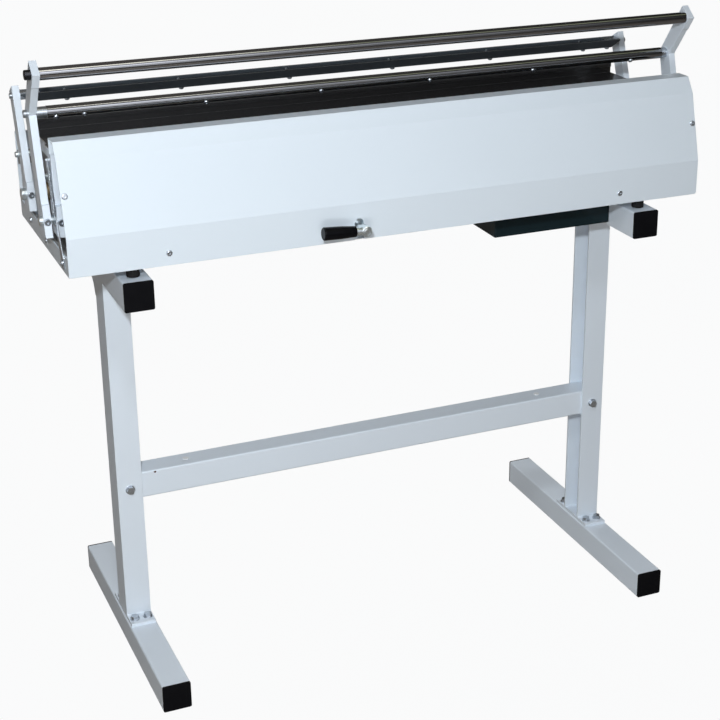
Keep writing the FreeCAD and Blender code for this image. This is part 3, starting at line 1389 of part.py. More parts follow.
def cam():
    """A spiral cam: low at the top, high a quarter turn to the left of it."""
    body = new_body("lever_cam")
    points = []
    for k in range(CAM_POINTS):
        turn = 2 * math.pi * k / CAM_POINTS
        share = turn / (math.pi / 2) if turn < math.pi / 2 else (2 * math.pi - turn) / (math.pi * 1.5)
        radius = s.cam_low_radius + s.cam_lift * min(share, 1.0)
        points.append((s.lever_x - radius * math.sin(turn), LEVER_HEIGHT + radius * math.cos(turn)))
    bore = circle(s.lever_x, LEVER_HEIGHT, s.lever_shaft_radius + s.clamp_clearance)
    pad(body, "XZ", [poly(*points), bore], s.cam_front, s.cam_back - s.cam_front)


def follower():
    body = new_body("clamp_follower")
    ring = s.follower_ring
    y = s.front_pivot_y
    z = PIVOT_HEIGHT
    nose = LEVER_HEIGHT + s.cam_low_radius + s.nose_gap
    start = s.lever_x - s.follower_wall / 2
    bore = circle(y, z, s.tube_radius + s.clamp_clearance)
    upper_y, upper_z = FOLLOWER_UPPER_SHARES
    under_y, under_z = FOLLOWER_UNDER_SHARES
    arm = poly(
        (y - ring * upper_y, z + ring * upper_z), (s.nose_front, nose + ring * OVER_SHARE * HALF),
        (s.nose_front, nose), (s.nose_back, nose),
        (y - ring * under_y, z - ring * under_z))
    pad(body, "YZ", [arm], start, s.follower_wall)
    pad(body, "YZ", [circle(y, z, ring)], start, s.follower_wall)
    cut(body, "YZ", [bore], start, s.follower_wall)


# Tray

def tray():
    body = new_body("under_tray")
    right = tray_right()
    left = right - s.tray_length
    wall = s.tray_wall
    top = PAN_BOTTOM
    box = rect(left, s.tray_front, right, s.tray_back)
    pad(body, "XY", [box], TRAY_BOTTOM, top - TRAY_BOTTOM)
    front = s.tray_front.value
    soften(body, lambda edge: runs_along(edge, Z_AXIS) and near(edge.Vertexes[0].Y, front), s.tray_corner)
    inside = rect(left + wall, s.tray_front + wall, right - wall, s.tray_back + wall)
    cut(body, "XY", [inside], TRAY_BOTTOM + wall, top - TRAY_BOTTOM - wall * 2)
    rim = s.tray_flange + wall
    mouth = rect(left + rim, s.tray_front + rim, right - rim, s.tray_back + wall)
    cut(body, "XY", [mouth], top - wall * 2, wall * CUT_SHARE)


# Springs

class Coil:
    """A helix between two points, with its spots and headings at quarter turns."""

    def __init__(self, low, high, radius, turns):
        self.low = low
        self.axis = high - low
        self.rise = self.axis.Length / turns
        self.axis.normalize()
        self.across = X_AXIS.cross(self.axis)
        self.across.normalize()
        self.other = self.axis.cross(self.across)
        self.radius = radius
        self.steps = int(turns) * 4

    def spot(self, step):
        turn = math.pi / 2 * step
        flat = self.across * (self.radius * math.cos(turn)) + self.other * (self.radius * math.sin(turn))
        return self.low + self.axis * (self.rise * step / 4) + flat

    def heading(self, step):
        turn = math.pi / 2 * step
        flat = self.other * (self.radius * math.cos(turn)) - self.across * (self.radius * math.sin(turn))
        way = flat + self.axis * (self.rise / (2 * math.pi))
        way.normalize()
        return way

    def least_gap(self, wire):
        points = [self.spot(k * HALF) for k in range(self.steps * 2 + 1)]
        return min((points[k + 8] - points[k]).Length for k in range(len(points) - 8)) - wire * 2


def turned_way(start, way, end):
    """Heading at the end of an arc that leaves start along way."""
    step = end - start
    step.normalize()
    return step * (2 * way.dot(step)) - way


def arc(start, way, end):
    step = end - start
    inward = way.cross(step).cross(way)
    inward.normalize()
    radius = step.dot(step) / (2 * step.dot(inward))
    centre = start + inward * radius
    outward = (start + end) * HALF - centre
    outward.normalize()
    return Part.Arc(start, centre + outward * radius, end).toShape()


def biarc(start, way_in, end, way_out):
    """Two arcs that join two spots with given headings."""
    chord = end - start
    a = 2 - 2 * way_in.dot(way_out)
    b = 2 * chord.dot(way_in + way_out)
    c = -chord.dot(chord)
    reach = (-b + math.sqrt(b * b - 4 * a * c)) / (2 * a)
    knot = (start + way_in * reach + end - way_out * reach) * HALF
    return [arc(start, way_in, knot), arc(knot, turned_way(start, way_in, knot), end)]


def spring(side):
    name = side_name(side) + "_spring"
    wire = s.spring_wire.value
    clear = s.spring_gap.value + wire * HALF
    x = SPRING_X.value * side
    low = FreeCAD.Vector(x, s.spring_low_y.value, ANCHOR_TOP.value + clear)
    high = FreeCAD.Vector(x, s.spring_pin_y.value,
                          SPRING_PIN_HEIGHT.value - s.spring_pin_radius.value - clear)
    coil = Coil(low, high, s.spring_radius.value, s.spring_turns.value)
    first = coil.spot(0) - coil.heading(0) * (wire * 2)
    last = coil.spot(coil.steps) + coil.heading(coil.steps) * (wire * 2)
    edges = [Part.LineSegment(first, coil.spot(0)).toShape()]
    for k in range(coil.steps):
        edges += biarc(coil.spot(k), coil.heading(k), coil.spot(k + 1), coil.heading(k + 1))
    edges.append(Part.LineSegment(coil.spot(coil.steps), last).toShape())
    ring = Part.Wire([Part.Circle(first, coil.heading(0), wire).toShape()])
    feature = doc.addObject("Part::Feature", name)
    feature.Label = name
    feature.Shape = Part.Wire(edges).makePipeShell([ring], True, False)
    PARTS.append(feature)
    print(name, "least gap to itself", round(coil.least_gap(wire), 2), "mm")


def build():
    fill_sheet()
    feet()
    end_caps("foot_end_caps", ZERO, s.foot_half_length)
    for side in (-1, 1):
        post(side)
    beams()
    end_caps("beam_end_caps", s.beam_bottom, s.beam_half_length)
    cross_bar()
    bar_plugs()
    bar_bolts()
    base_bolts()
    pucks()
    base_pan()
    front_cover()
    rear_cover()
    cover_screws()
    end_screws()
    for side in (-1, 1):
        side_frame(side)
    bed_plate()
    rails()
    stop_pins()
    bushings()
    shafts()
    for side in (-1, 1):
        front_arm(side)
        rear_arm(side)
        clamp_arm(side)
        spring(side)
    front_bars()
    folding_channel()
    end_blocks()
    arm_screws()
    clamp_bar()
    anchors()
    lever()
    tray()


def check():
    doc.recompute()
    for thing in doc.Objects:
        if "Invalid" in thing.State or "Error" in thing.State:
            raise RuntimeError("bad state: " + thing.Name + " " + str(thing.State))
    for part in PARTS:
        if part.Shape.isNull() or not part.Shape.isValid():
            raise RuntimeError("bad shape: " + part.Label)


def write():
    os.makedirs("parts", exist_ok=True)
    for part in PARTS:
        part.Shape.exportStep("parts/" + part.Label + ".step")
        box = part.Shape.BoundBox
        print("%-24s solids %2d  X %8.1f %8.1f  Y %8.1f %8.1f  Z %8.1f %8.1f" % (
            part.Label, len(part.Shape.Solids), box.XMin, box.XMax, box.YMin, box.YMax, box.ZMin, box.ZMax))
    print("nodes", len(PARTS))


build()
check()
write()
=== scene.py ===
import json
import math

import bmesh
import bpy
from mathutils import Euler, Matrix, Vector


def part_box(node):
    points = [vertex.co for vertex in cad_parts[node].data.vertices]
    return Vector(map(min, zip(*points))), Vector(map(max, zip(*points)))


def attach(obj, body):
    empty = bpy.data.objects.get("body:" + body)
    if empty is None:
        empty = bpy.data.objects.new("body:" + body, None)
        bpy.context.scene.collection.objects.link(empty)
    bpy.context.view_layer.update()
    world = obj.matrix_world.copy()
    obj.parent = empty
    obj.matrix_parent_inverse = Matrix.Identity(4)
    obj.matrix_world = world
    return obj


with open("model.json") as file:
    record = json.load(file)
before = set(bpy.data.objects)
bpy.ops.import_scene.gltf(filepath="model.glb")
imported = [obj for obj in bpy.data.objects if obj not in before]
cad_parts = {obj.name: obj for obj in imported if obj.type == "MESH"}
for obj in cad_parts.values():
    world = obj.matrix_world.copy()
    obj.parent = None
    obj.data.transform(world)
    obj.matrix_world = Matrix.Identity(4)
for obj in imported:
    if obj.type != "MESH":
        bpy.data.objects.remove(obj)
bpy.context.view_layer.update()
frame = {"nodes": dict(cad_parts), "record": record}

# Camera of the photograph, in metres and pixels of a 720 pixel square picture
PICTURE = 720
CAMERA_PLACE = (-1.0565, -2.5891, 1.6222)
CAMERA_TURN = 0.417
CAMERA_DIP = 0.376
FOCAL_PIXELS = 1615.24
PICTURE_CENTRE = (412.2, 335.9)
SENSOR = 36.0

# Studio, in metres: the floor's half side, the pale backdrop and the dim room round the object
FLOOR_REACH = 40.0
BACKDROP_RADIUS = 30.0
ROOM_RADIUS = 20.0
FLOOR_DROP = 0.002

# Ends of the strip light under the ceiling and its half width, and the glow over the cover's top lip
STRIP_LEFT = Vector((-1.78, -2.54, 4.07))
STRIP_RIGHT = Vector((3.28, -0.63, 4.34))
STRIP_HALF_WIDTH = Vector((0.0, 0.38, 0.18))
LIP_REACH = 0.55
LIP_SPAN = 1.2
LIP_FRONT = (-0.15, 0.980)
LIP_BACK = (-0.075, 0.955)

# Room seen in the polished bars. Each stop is a share of the room's size and a brightness:
# how the lit wall fades to the right, how it stands in front, and its height with a bright window band
WALL_FADE_SHARES = ((0.15, 0.9), (0.33, 0.22), (0.55, 0.0))
WALL_FRONT_SHARES = ((0.40, 1.0), (0.48, 0.0))
WALL_HEIGHT_SHARES = ((0.50, 0.0), (0.505, 0.4), (0.70, 0.4), (0.72, 1.0),
                      (0.78, 1.0), (0.80, 0.4), (0.95, 0.0))
DIM_SIDE_SHARES = ((0.17, 0.0), (0.53, 1.0))
DIM_LEFT = (0.042, 0.039, 0.036)
DIM_RIGHT = (0.010, 0.010, 0.009)
LIT_WALL = (0.88, 0.92, 1.0)
ROOM_STRENGTH = 4.0
# Colours of the strip light, cream on the left and dull olive on the right, and of the glow over the lip
STRIP_COLOUR_SHARES = ((0.4, (0.9, 0.88, 0.76)), (0.6, (0.14, 0.15, 0.1)))
LIP_COLOUR_SHARES = ((0.0, (0.62, 0.65, 0.68)), (1.0, (0.03, 0.03, 0.035)))
LIP_STRENGTH = 2.4


class Value:
    """A number that varies over a surface, with maths as Python writes it."""

    def __init__(self, tree, socket):
        self.tree = tree
        self.socket = socket

    def joined(self, operation, first, second):
        node = self.tree.nodes.new("ShaderNodeMath")
        node.operation = operation
        for slot, part in zip(node.inputs, (first, second)):
            if isinstance(part, Value):
                self.tree.links.new(part.socket, slot)
            else:
                slot.default_value = part
        return Value(self.tree, node.outputs[0])

    def __add__(self, other):
        return self.joined("ADD", self, other)

    def __sub__(self, other):
        return self.joined("SUBTRACT", self, other)

    def __rsub__(self, other):
        return self.joined("SUBTRACT", other, self)

    def __mul__(self, other):
        return self.joined("MULTIPLY", self, other)

    def at_most(self, other):
        return self.joined("MINIMUM", self, other)

    __radd__ = __add__
    __rmul__ = __mul__


class Finish:
    """A surface finish on one Principled shader."""

    def __init__(self, name, **constants):
        self.material = bpy.data.materials.new(name)
        self.material.use_nodes = True
        self.tree = self.material.node_tree
        self.shader = next(n for n in self.tree.nodes if n.type == "BSDF_PRINCIPLED")
        for socket, value in constants.items():
            self.shader.inputs[socket.replace("_", " ")].default_value = value

    def node(self, kind, settings=(), out=0, **sockets):
        """Add a node of a type, with its settings first and then the values or links of its sockets."""
        node = self.tree.nodes.new("ShaderNode" + kind)
        for name, value in dict(settings).items():
            if name == "stops":
                self.fill_ramp(node.color_ramp, value)
            else:
                setattr(node, name, value)
        for name, value in sockets.items():
            key = int(name[1:]) if name[0] == "i" and name[1:].isdigit() else name.replace("_", " ")
            if isinstance(value, Value):
                self.tree.links.new(value.socket, node.inputs[key])
            else:
                node.inputs[key].default_value = value
        return Value(self.tree, node.outputs[out])

    @staticmethod
    def fill_ramp(ramp, stops):
        while len(ramp.elements) < len(stops):
            ramp.elements.new(1.0)
        for element, (place, shade) in zip(ramp.elements, stops):
            element.position = place
            element.color = (*shade, 1.0) if isinstance(shade, tuple) else (shade, shade, shade, 1.0)

    def place(self):
        return self.node("TexCoord", out=3)

    def axis(self, place, k):
        """One coordinate of a place: 0 across, 1 depth, 2 height."""
        return self.node("SeparateXYZ", out=k, Vector=place)

    def stretched(self, scale):
        return self.node("Mapping", Vector=self.place(), Scale=scale)

    def noise(self, size, detail=2.0, rough=0.5, where=None):
        """Soft noise whose spots are about size metres across."""
        return self.node("TexNoise", Vector=where or self.place(), Scale=1.0 / size, Detail=detail,
                         Roughness=rough)

    def shaped(self, value, *stops):
        return self.node("ValToRGB", settings={"stops": stops}, Fac=value)

    def mixed(self, share, first, second):
        """Blend two colours. Each is a colour or a link."""
        values = {"i0": share}
        for key, colour in (("i6", first), ("i7", second)):
            values[key] = colour if isinstance(colour, Value) else (*colour, 1.0)
        return self.node("Mix", settings={"data_type": "RGBA"}, out=2, **values)

    def rounded(self, radius):
        """Normal of the surface with its edges rounded."""
        return self.node("Bevel", settings={"samples": 6}, Radius=radius)

    def edges(self, radius, level=0.04):
        """One near an edge, nought on the flats."""
        bevel = self.rounded(radius)
        true = self.node("NewGeometry", out=1)
        along = self.node("VectorMath", settings={"operation": "DOT_PRODUCT"}, out=1, i0=bevel, i1=true)
        return ((1.0 - along) * (1.0 / level)).at_most(1.0)

    def bump(self, height, depth, strength=1.0, normal=None):
        values = {"Strength": strength, "Distance": depth, "Height": height}
        if normal is not None:
            values["Normal"] = normal
        return self.node("Bump", **values)

    def set(self, **links):
        for name, value in links.items():
            self.tree.links.new(value.socket, self.shader.inputs[name.replace("_", " ")])
        return self.material


def powder_coat(name, colour, shade, gloss=0.36, grain=0.0016, edge=0.0009):
    """Satin powder coat: fine orange peel, faint clouds, rounded edges with a paler rim, partly a painted
    highlight and partly wear.
    """
    f = Finish(name, IOR=1.5, Coat_Roughness=0.18, Coat_Weight=0.25)
    clouds = f.noise(0.16, detail=3.0)
    grit = f.noise(grain, detail=2.0)
    rim = f.edges(edge)
    body = f.mixed(clouds * 0.5 + grit * 0.12, colour, shade)
    # Paler rim on the edges: partly a painted highlight, partly wear
    pale = tuple(min(1.0, c * 1.08 + 0.02) for c in colour)
    return f.set(Base_Color=f.mixed(rim * 0.6, body, pale),
                 Roughness=clouds * 0.06 + grit * 0.05 + gloss - 0.05,
                 Normal=f.bump(grit, 0.00006, normal=f.rounded(edge)))


def gloss_paint(name, colour, shade, gloss=0.2, shine=0.5, edge=0.0008, edge_highlight_and_wear=(0.16, 0.17, 0.18), edge_highlight_share=0.35):
    """Dark smooth paint with a little dust in it and pale edges, partly a painted highlight along the edges
    and partly wear.
    """
    f = Finish(name, IOR=1.5, Specular_IOR_Level=shine, Coat_Roughness=0.08, Coat_Weight=0.15)
    clouds = f.noise(0.09, detail=4.0)
    dust = f.shaped(f.noise(0.0011, detail=1.0), (0.66, 0.0), (0.72, 1.0))
    rim = f.edges(edge)
    body = f.mixed(clouds, colour, shade)
    body = f.mixed(dust * 0.04, body, (0.25, 0.26, 0.27))
    # Pale edges: partly a painted highlight along the edges, partly wear
    return f.set(Base_Color=f.mixed(rim * edge_highlight_share, body, edge_highlight_and_wear),
                 Roughness=clouds * 0.10 + dust * 0.06 + gloss,
                 Normal=f.bump(clouds, 0.0001, strength=0.3, normal=f.rounded(edge)))


def dark_chrome(name):
    """Dark plated bar: drawn marks along it and a few dull spots."""
    f = Finish(name, Metallic=1.0)
    drawn = f.noise(0.0012, detail=3.0, where=f.stretched((0.012, 1.0, 1.0)))
    spots = f.noise(0.03, detail=4.0)
    body = f.mixed(spots * 0.6, (0.34, 0.34, 0.35), (0.24, 0.24, 0.25))
    return f.set(Base_Color=f.mixed(f.edges(0.0007) * 0.5, body, (0.5, 0.5, 0.5)),
                 Roughness=drawn * 0.06 + spots * 0.04 + 0.05,
                 Normal=f.bump(drawn, 0.00002, normal=f.rounded(0.0006)))


def bare_metal(name, colour, shade, gloss=0.25, mark=0.0008, edge=0.0004):
    """Plated or turned steel with fine marks and darker clouds."""
    f = Finish(name, Metallic=1.0)
    marks = f.noise(mark, detail=3.0)
    clouds = f.noise(0.012, detail=3.0)
    body = f.mixed(clouds * 0.8 + marks * 0.2, colour, shade)
    bright = tuple(min(1.0, c * 1.25) for c in colour)
    return f.set(Base_Color=f.mixed(f.edges(edge) * 0.6, body, bright),
                 Roughness=marks * 0.16 + clouds * 0.08 + gloss - 0.08,
                 Normal=f.bump(marks, 0.00003, normal=f.rounded(edge)))


def moulded(name, colour, shade, gloss=0.5, shine=0.25, grain=0.0009, depth=0.00008, edge=0.0008):
    """Moulded plastic or rubber with a fine spark-eroded grain."""
    f = Finish(name, IOR=1.46, Specular_IOR_Level=shine)
    grit = f.noise(grain, detail=2.0)
    clouds = f.noise(0.02, detail=3.0)
    body = f.mixed(clouds * 0.7 + grit * 0.3, colour, shade)
    scuffed = tuple(c * 1.1 + 0.03 for c in colour)
    return f.set(Base_Color=f.mixed(f.edges(edge) * 0.4, body, scuffed),
                 Roughness=clouds * 0.12 + grit * 0.08 + gloss - 0.08,
                 Normal=f.bump(grit, depth, normal=f.rounded(edge)))


FINISHES = {
    "stand_paint": powder_coat("stand powder coat", (0.72, 0.79, 0.87), (0.685, 0.755, 0.84)),
    "cover_paint": powder_coat("cover powder coat", (0.715, 0.79, 0.865), (0.68, 0.755, 0.835)),
    "arm_paint": powder_coat("arm powder coat", (0.72, 0.79, 0.87), (0.685, 0.755, 0.84)),
    # Side plates get a dark grey, taken from how dark they look in shade between the covers: part of it is
    # painted shade
    "frame_paint": powder_coat("side plate paint and painted shade", (0.34, 0.34, 0.34), (0.27, 0.27, 0.28), gloss=0.45),
    "black_paint": gloss_paint("black bar paint", (0.016, 0.0155, 0.0165), (0.021, 0.0205, 0.022),
                               gloss=0.13, shine=0.7),
    "tray_paint": gloss_paint("tray paint", (0.003, 0.009, 0.012), (0.008, 0.020, 0.025),
                              gloss=0.34, shine=0.12),
    "black_chrome": dark_chrome("dark chrome"),
    "zinc": bare_metal("zinc plating", (0.62, 0.66, 0.70), (0.40, 0.43, 0.47)),
    "bright_steel": bare_metal("turned steel", (0.86, 0.92, 0.94), (0.64, 0.70, 0.72), mark=0.0005),
    "black_steel": bare_metal("blackened steel", (0.05, 0.05, 0.055), (0.025, 0.025, 0.03), gloss=0.35),
    "bronze": bare_metal("sintered bronze", (0.42, 0.30, 0.17), (0.27, 0.19, 0.11), gloss=0.42),
    "black_plastic": moulded("cap plastic", (0.002, 0.002, 0.003), (0.004, 0.004, 0.005),
                             gloss=0.45, shine=0.1),
    "pale_plastic": moulded("plug plastic", (0.80, 0.82, 0.84), (0.72, 0.74, 0.77), gloss=0.4),
    "rubber": moulded("foot rubber", (0.010, 0.010, 0.010), (0.020, 0.020, 0.020), gloss=0.72, shine=0.08),
    "grip_plastic": moulded("grip plastic", (0.002, 0.002, 0.003), (0.004, 0.004, 0.005),
                            gloss=0.22, shine=0.12, depth=0.00003),
    # No slot of the record: only the chip in the cross bar's paint wears it
    "primer": moulded("red primer", (0.10, 0.030, 0.022), (0.05, 0.018, 0.014), gloss=0.6),
}

# The folding channel wears a greyer paint than the other black pieces, with paler edges: a stronger painted
# highlight along them, with some wear
OWN_FINISHES = {
    "rear_folding_channel": gloss_paint(
        "channel slate paint", (0.062, 0.074, 0.086), (0.050, 0.060, 0.070),
        gloss=0.3, shine=0.3, edge=0.0011, edge_highlight_and_wear=(0.34, 0.35, 0.36), edge_highlight_share=0.6),
}

SLOT_OF = {s["node"]: s["material_slot"] for s in frame["record"]["subparts"]}


def dress_nodes():
    """Give every CAD node the finish of its material slot, or its own one."""
    for name, node in frame["nodes"].items():
        node.data.materials.clear()
        node.data.materials.append(OWN_FINISHES.get(name) or FINISHES[SLOT_OF[name]])


# Small pieces that the solids leave out

def mesh_piece(name, points, faces, finish, body, smooth=True):
    """A small piece that moves with a body, in one of the finishes."""
    data = bpy.data.meshes.new(name)
    data.from_pydata([tuple(p) for p in points], [], faces)
    data.validate()
    data.materials.append(FINISHES[finish])
    for polygon in data.polygons:
        polygon.use_smooth = smooth
    piece = bpy.data.objects.new(name, data)
    bpy.context.collection.objects.link(piece)
    finish in SLOT_OF.values()
    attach(piece, body)
    return piece


def tube_mesh(path, radius, sides=10):
    """Points and faces of a capped tube along a path. The radius may change along it."""
    points = []
    faces = []
    radii = radius if isinstance(radius, list) else [radius] * len(path)
    side = None
    for k, spot in enumerate(path):
        before = path[max(k - 1, 0)]
        after = path[min(k + 1, len(path) - 1)]
        way = (Vector(after) - Vector(before)).normalized()
        if side is None:
            side = way.orthogonal().normalized()
        side = (side - way * side.dot(way)).normalized()
        other = way.cross(side)
        for m in range(sides):
            turn = 2 * math.pi * m / sides
            points.append(Vector(spot) + (side * math.cos(turn) + other * math.sin(turn)) * radii[k])
    for k in range(len(path) - 1):
        for m in range(sides):
            a = k * sides + m
            b = k * sides + (m + 1) % sides
            faces.append((a, b, b + sides, a + sides))
    faces.append(tuple(reversed(range(sides))))
    faces.append(tuple(range(len(points) - sides, len(points))))
    return points, faces


# Welds of the posts, in metres: top of the base plate, half depth and wall of the post
WELD_HEIGHT = 0.056
POST_HALF_DEPTH = 0.028
POST_WALL = 0.004

# A bead: its radius, the length of one ripple, and how deep the ripples are as a share of the radius
BEAD = 0.0022
RIPPLE = 0.0035
RIPPLE_SHARE = 0.10
FEWEST_RIPPLES = 3
RIPPLE_STEPS = 4
START_SHARE = 0.35


def weld_bead(name, start, end, body):
    """A painted weld: a low rope of overlapping ripples between two points."""
    start = Vector(start)
    end = Vector(end)
    ripples = max(FEWEST_RIPPLES, int((end - start).length / RIPPLE))
    steps = ripples * RIPPLE_STEPS
    path = []
    radii = []
    for k in range(steps + 1):
        share = k / steps
        path.append(start.lerp(end, share))
        ripple = RIPPLE_SHARE * math.cos(share * ripples * 2 * math.pi)
        close = min(1.0, min(share, 1 - share) * steps / FEWEST_RIPPLES + START_SHARE)
        radii.append(BEAD * (1.0 + ripple) * close)
    return mesh_piece(name, *tube_mesh(path, radii), "stand_paint", body)


def post_welds():
    """Beads where each post stands on its base plate."""
    for side, name in ((-1, "left"), (1, "right")):
        low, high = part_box(name + "_post")
        outer = high.x if side > 0 else low.x
        inner = low.x if side > 0 else high.x
        back = POST_HALF_DEPTH - POST_WALL
        far = (outer - side * POST_WALL, back, WELD_HEIGHT)
        near = (outer - side * POST_WALL, -back, WELD_HEIGHT)
        corner = (outer, -POST_HALF_DEPTH, WELD_HEIGHT)
        weld_bead(name + "_base_weld_back", (inner, back, WELD_HEIGHT), far, "stand")
        weld_bead(name + "_base_weld_front", (inner, -POST_HALF_DEPTH, WELD_HEIGHT), corner, "stand")
        weld_bead(name + "_base_weld_side", near, far, "stand")


# Springs, in metres: place across, depth and height of the pins, depth of the low ends,
# and the radii of the wire, of a pin and of the loop in the anchor strip
SPRING_ACROSS = 0.5816
SPRING_PIN = (-0.0955, 0.945)
SPRING_LOW = -0.116
SPRING_WIRE = 0.0007
PIN_RADIUS = 0.0016
STRIP_LOOP = 0.0026
# Start and sweep of each wire loop, in degrees
TOP_LOOP = (-70, 290)
LOW_LOOP = (100, 310)


def wire_loop(middle, radius, flat, start, sweep, steps=16):
    """Spots of an open ring of wire. It lies across the machine when flat is true, else along its side."""
    spots = []
    for k in range(steps + 1):
        turn = math.radians(start + sweep * k / steps)
        level = math.cos(turn) * radius
        way = Vector((level, 0, 0)) if flat else Vector((0, level, 0))
        spots.append(middle + way + Vector((0, 0, math.sin(turn) * radius)))
    return spots


def spring_hooks():
    """Wire loops that join each spring to its pin and to its anchor strip."""
    strip_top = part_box("spring_anchors")[1].z
    for side, name in ((-1, "left"), (1, "right")):
        across = SPRING_ACROSS * side
        pin = Vector((across, *SPRING_PIN))
        path = wire_loop(pin, PIN_RADIUS + SPRING_WIRE, False, *TOP_LOOP)
        mesh_piece(name + "_spring_top_hook", *tube_mesh(path, SPRING_WIRE), "zinc", "clamp_frame")
        eye = Vector((across, SPRING_LOW, strip_top - STRIP_LOOP + 2 * SPRING_WIRE))
        path = wire_loop(eye, STRIP_LOOP, True, *LOW_LOOP)
        mesh_piece(name + "_spring_low_hook", *tube_mesh(path, SPRING_WIRE), "zinc", "stand")


# The chip in the cross bar's paint, in metres: its outline, its left end, how far it lies below
# the top edge, and how proud its rim and its middle are
CHIP_OUTLINE = ((0.0, 0.0), (0.0022, 0.0006), (0.0041, 0.0002), (0.0048, -0.0014), (0.0036, -0.0029),
                (0.0019, -0.0033), (0.0004, -0.0021))
CHIP_LEFT = -0.4262
CHIP_DROP = 0.0022
CHIP_RIM = 0.00012
CHIP_RISE = 0.0002


def primer_chip():
    """A small dark mark at the left end of the cross bar, taken for a chip in the paint."""
    low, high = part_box("cross_bar")
    rim = [Vector((CHIP_LEFT + x, low.y - CHIP_RIM, high.z - CHIP_DROP + z)) for x, z in CHIP_OUTLINE]
    middle = sum(rim, Vector()) / len(rim) - Vector((0, CHIP_RISE, 0))
    faces = [(k, (k + 1) % len(rim), len(rim)) for k in range(len(rim))]
    mesh_piece("cross_bar_primer_chip", rim + [middle], faces, "primer", "stand", smooth=False)


def flat_sheet(name, corners, finish, eyes):
    """A flat piece of the studio that only some rays meet: camera, glossy, diffuse or shadow."""
    data = bpy.data.meshes.new(name)
    data.from_pydata(corners, [], [(0, 1, 2, 3)])
    return studio_piece(name, data, finish, eyes)


def studio_piece(name, data, finish, eyes):
    """Put a piece of the studio up, seen only by the kinds of rays that are named."""
    data.materials.append(finish)
    piece = bpy.data.objects.new(name, data)
    bpy.context.collection.objects.link(piece)
    for kind in ("camera", "diffuse", "glossy", "shadow", "transmission"):
        setattr(piece, "visible_" + kind, kind in eyes)
    return piece


def dome(name, radius, finish, eyes, rings=32, sides=64):
    """A round room seen from inside."""
    build = bmesh.new()
    bmesh.ops.create_uvsphere(build, u_segments=sides, v_segments=rings, radius=radius)
    data = bpy.data.meshes.new(name)
    build.to_mesh(data)
    build.free()
    for polygon in data.polygons:
        polygon.use_smooth = True
    return studio_piece(name, data, finish, eyes)


def glow(name, strength):
    """A finish that only gives light. Its colour is linked by the caller."""
    return Finish(name, Roughness=1.0, Specular_IOR_Level=0.0, Emission_Strength=strength,
                  Base_Color=(0.0, 0.0, 0.0, 1.0))


def level(height):
    """Corners of a wide floor at a height."""
    turns = ((-1, -1), (1, -1), (1, 1), (-1, 1))
    return [(FLOOR_REACH * x, FLOOR_REACH * y, height) for x, y in turns]


def stage():
    """A pale room for the camera, and a darker one that only the object sees."""
    pale = glow("pale floor", 1.0)
    tone = pale.mixed(pale.noise(1.6, detail=2.0), (0.965, 0.968, 0.97), (0.95, 0.955, 0.958))
    flat_sheet("studio_floor", level(0.0), pale.set(Emission_Color=tone), ("camera",))
    back = glow("pale backdrop", 1.0)
    tone = back.mixed(back.noise(9.0, detail=1.0), (0.965, 0.968, 0.97), (0.96, 0.963, 0.966))
    dome("studio_backdrop", BACKDROP_RADIUS, back.set(Emission_Color=tone), ("camera",))
    dull = Finish("dull floor", Roughness=0.8, Specular_IOR_Level=0.1)
    tone = dull.mixed(dull.noise(1.2, detail=2.0), (0.34, 0.31, 0.28), (0.28, 0.26, 0.24))
    flat_sheet("floor_below", level(-FLOOR_DROP), dull.set(Base_Color=tone),
               ("diffuse", "glossy", "shadow"))
    lit_wall()
    strip_light()
    cover_lip_glow()


def lit_wall():
    """The dim room that shows in the polished bars, with a lit wall in front on the left."""
    walls = glow("dim room", ROOM_STRENGTH)
    place = walls.place()
    across, depth, height = (walls.axis(place, k) * (1.0 / ROOM_RADIUS) for k in range(3))
    dim = walls.mixed(walls.shaped(across, *DIM_SIDE_SHARES), DIM_LEFT, DIM_RIGHT)
    # Heights and depths run from minus one to one, and a ramp from nought to one
    lit = walls.shaped(height * 0.5 + 0.5, *WALL_HEIGHT_SHARES)
    front = walls.shaped(depth * 0.5 + 0.5, *WALL_FRONT_SHARES)
    fade = walls.shaped(across, *WALL_FADE_SHARES)
    tone = walls.mixed(lit * front * fade, dim, LIT_WALL)
    dome("room_walls", ROOM_RADIUS, walls.set(Emission_Color=tone), ("glossy",))


def strip_light():
    """The long ceiling light that draws the thin bright line on the polished bars."""
    strip = glow("strip light", ROOM_STRENGTH)
    along = strip.axis(strip.place(), 0)
    length = STRIP_RIGHT.x - STRIP_LEFT.x
    tone = strip.shaped(along * (1.0 / length) - STRIP_LEFT.x / length, *STRIP_COLOUR_SHARES)
    corners = [STRIP_LEFT - STRIP_HALF_WIDTH, STRIP_RIGHT - STRIP_HALF_WIDTH,
               STRIP_RIGHT + STRIP_HALF_WIDTH, STRIP_LEFT + STRIP_HALF_WIDTH]
    flat_sheet("strip_light", corners, strip.set(Emission_Color=tone), ("glossy",))


def cover_lip_glow():
    """A glowing sheet over the cover's top lip, seen only in reflections: a painted reflection of the lit
    lip on the underside of the bars, bright on the left and fading to dark on the right.
    """
    lip = glow("lit cover lip", LIP_STRENGTH)
    along = lip.axis(lip.place(), 0)
    tone = lip.shaped(along * (1.0 / LIP_SPAN) + 0.5, *LIP_COLOUR_SHARES)
    corners = [(-LIP_REACH, *LIP_FRONT), (LIP_REACH, *LIP_FRONT),
               (LIP_REACH, *LIP_BACK), (-LIP_REACH, *LIP_BACK)]
    flat_sheet("cover_lip_glow", corners, lip.set(Emission_Color=tone), ("glossy",))


def lamp(name, place, target, width, height, power, colour):
    """An area lamp that looks at a target and isn't seen by the camera."""
    data = bpy.data.lights.new(name, "AREA")
    data.shape = "RECTANGLE"
    data.size = width
    data.size_y = height
    data.energy = power
    data.color = colour
    item = bpy.data.objects.new(name, data)
    item.location = place
    item.rotation_euler = (Vector(target) - Vector(place)).to_track_quat("-Z", "Y").to_euler()
    item.visible_camera = False
    bpy.context.collection.objects.link(item)
    return item


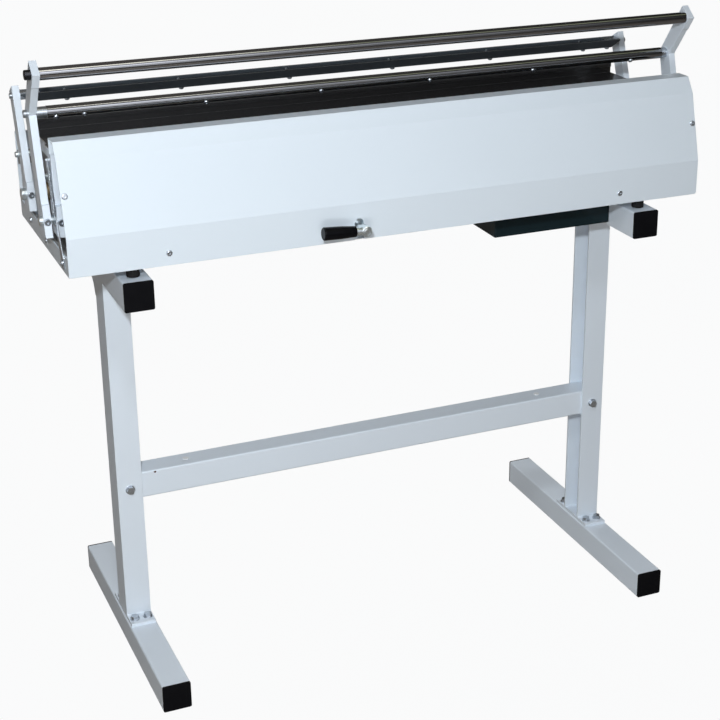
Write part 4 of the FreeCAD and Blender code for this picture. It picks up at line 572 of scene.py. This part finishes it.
# Lamps: name, place, aim, width, height, watts, colour, seen in reflections
LAMP_AIM = (-0.1, 0.0, 0.7)
SOFTBOX_AIM = (0.0, 0.0, 0.6)
LAMPS = (
    ("flash", (-1.25, -2.55, 2.05), LAMP_AIM, 0.16, 0.12, 49.0, (0.94, 1.0, 1.035), True),
    ("ceiling", (-0.9, -2.05, 3.4), LAMP_AIM, 0.35, 0.3, 19.0, (0.95, 1.0, 1.04), True),
    ("floor_bounce", (-0.9, -2.2, 0.6), LAMP_AIM, 0.8, 0.4, 11.0, (1.0, 0.98, 0.95), False),
    ("back_softbox", (0.3, 4.6, 0.9), SOFTBOX_AIM, 2.2, 1.0, 120.0, (1.0, 0.99, 0.97), False),
    ("side_softbox", (4.6, 0.6, 0.5), SOFTBOX_AIM, 1.6, 0.9, 110.0, (1.0, 0.99, 0.97), False),
)
SKY_COLOUR = (1.0, 0.91, 0.83, 1.0)
SKY_STRENGTH = 0.15


def lights():
    """Set up the lamps, a weak sky and the plain view of colours."""
    for name, place, aim, width, height, watts, colour, seen in LAMPS:
        lamp(name, place, aim, width, height, watts, colour).visible_glossy = seen
    world = bpy.data.worlds.new("studio sky")
    bpy.context.scene.world = world
    world.use_nodes = True
    sky = next(n for n in world.node_tree.nodes if n.type == "BACKGROUND")
    sky.inputs["Color"].default_value = SKY_COLOUR
    sky.inputs["Strength"].default_value = SKY_STRENGTH
    bpy.context.scene.view_settings.view_transform = "Standard"


def camera():
    """The camera that the photograph was taken with, as it was fitted to the picture."""
    data = bpy.data.cameras.new("photo_camera")
    data.sensor_width = SENSOR
    data.lens = FOCAL_PIXELS / PICTURE * SENSOR
    data.shift_x = (PICTURE / 2 - PICTURE_CENTRE[0]) / PICTURE
    data.shift_y = (PICTURE_CENTRE[1] - PICTURE / 2) / PICTURE
    item = bpy.data.objects.new("photo_camera", data)
    item.location = CAMERA_PLACE
    item.rotation_euler = Euler((math.pi / 2 - CAMERA_DIP, 0.0, -CAMERA_TURN))
    bpy.context.collection.objects.link(item)
    bpy.context.scene.camera = item


dress_nodes()
post_welds()
spring_hooks()
primer_chip()
stage()
lights()
camera()
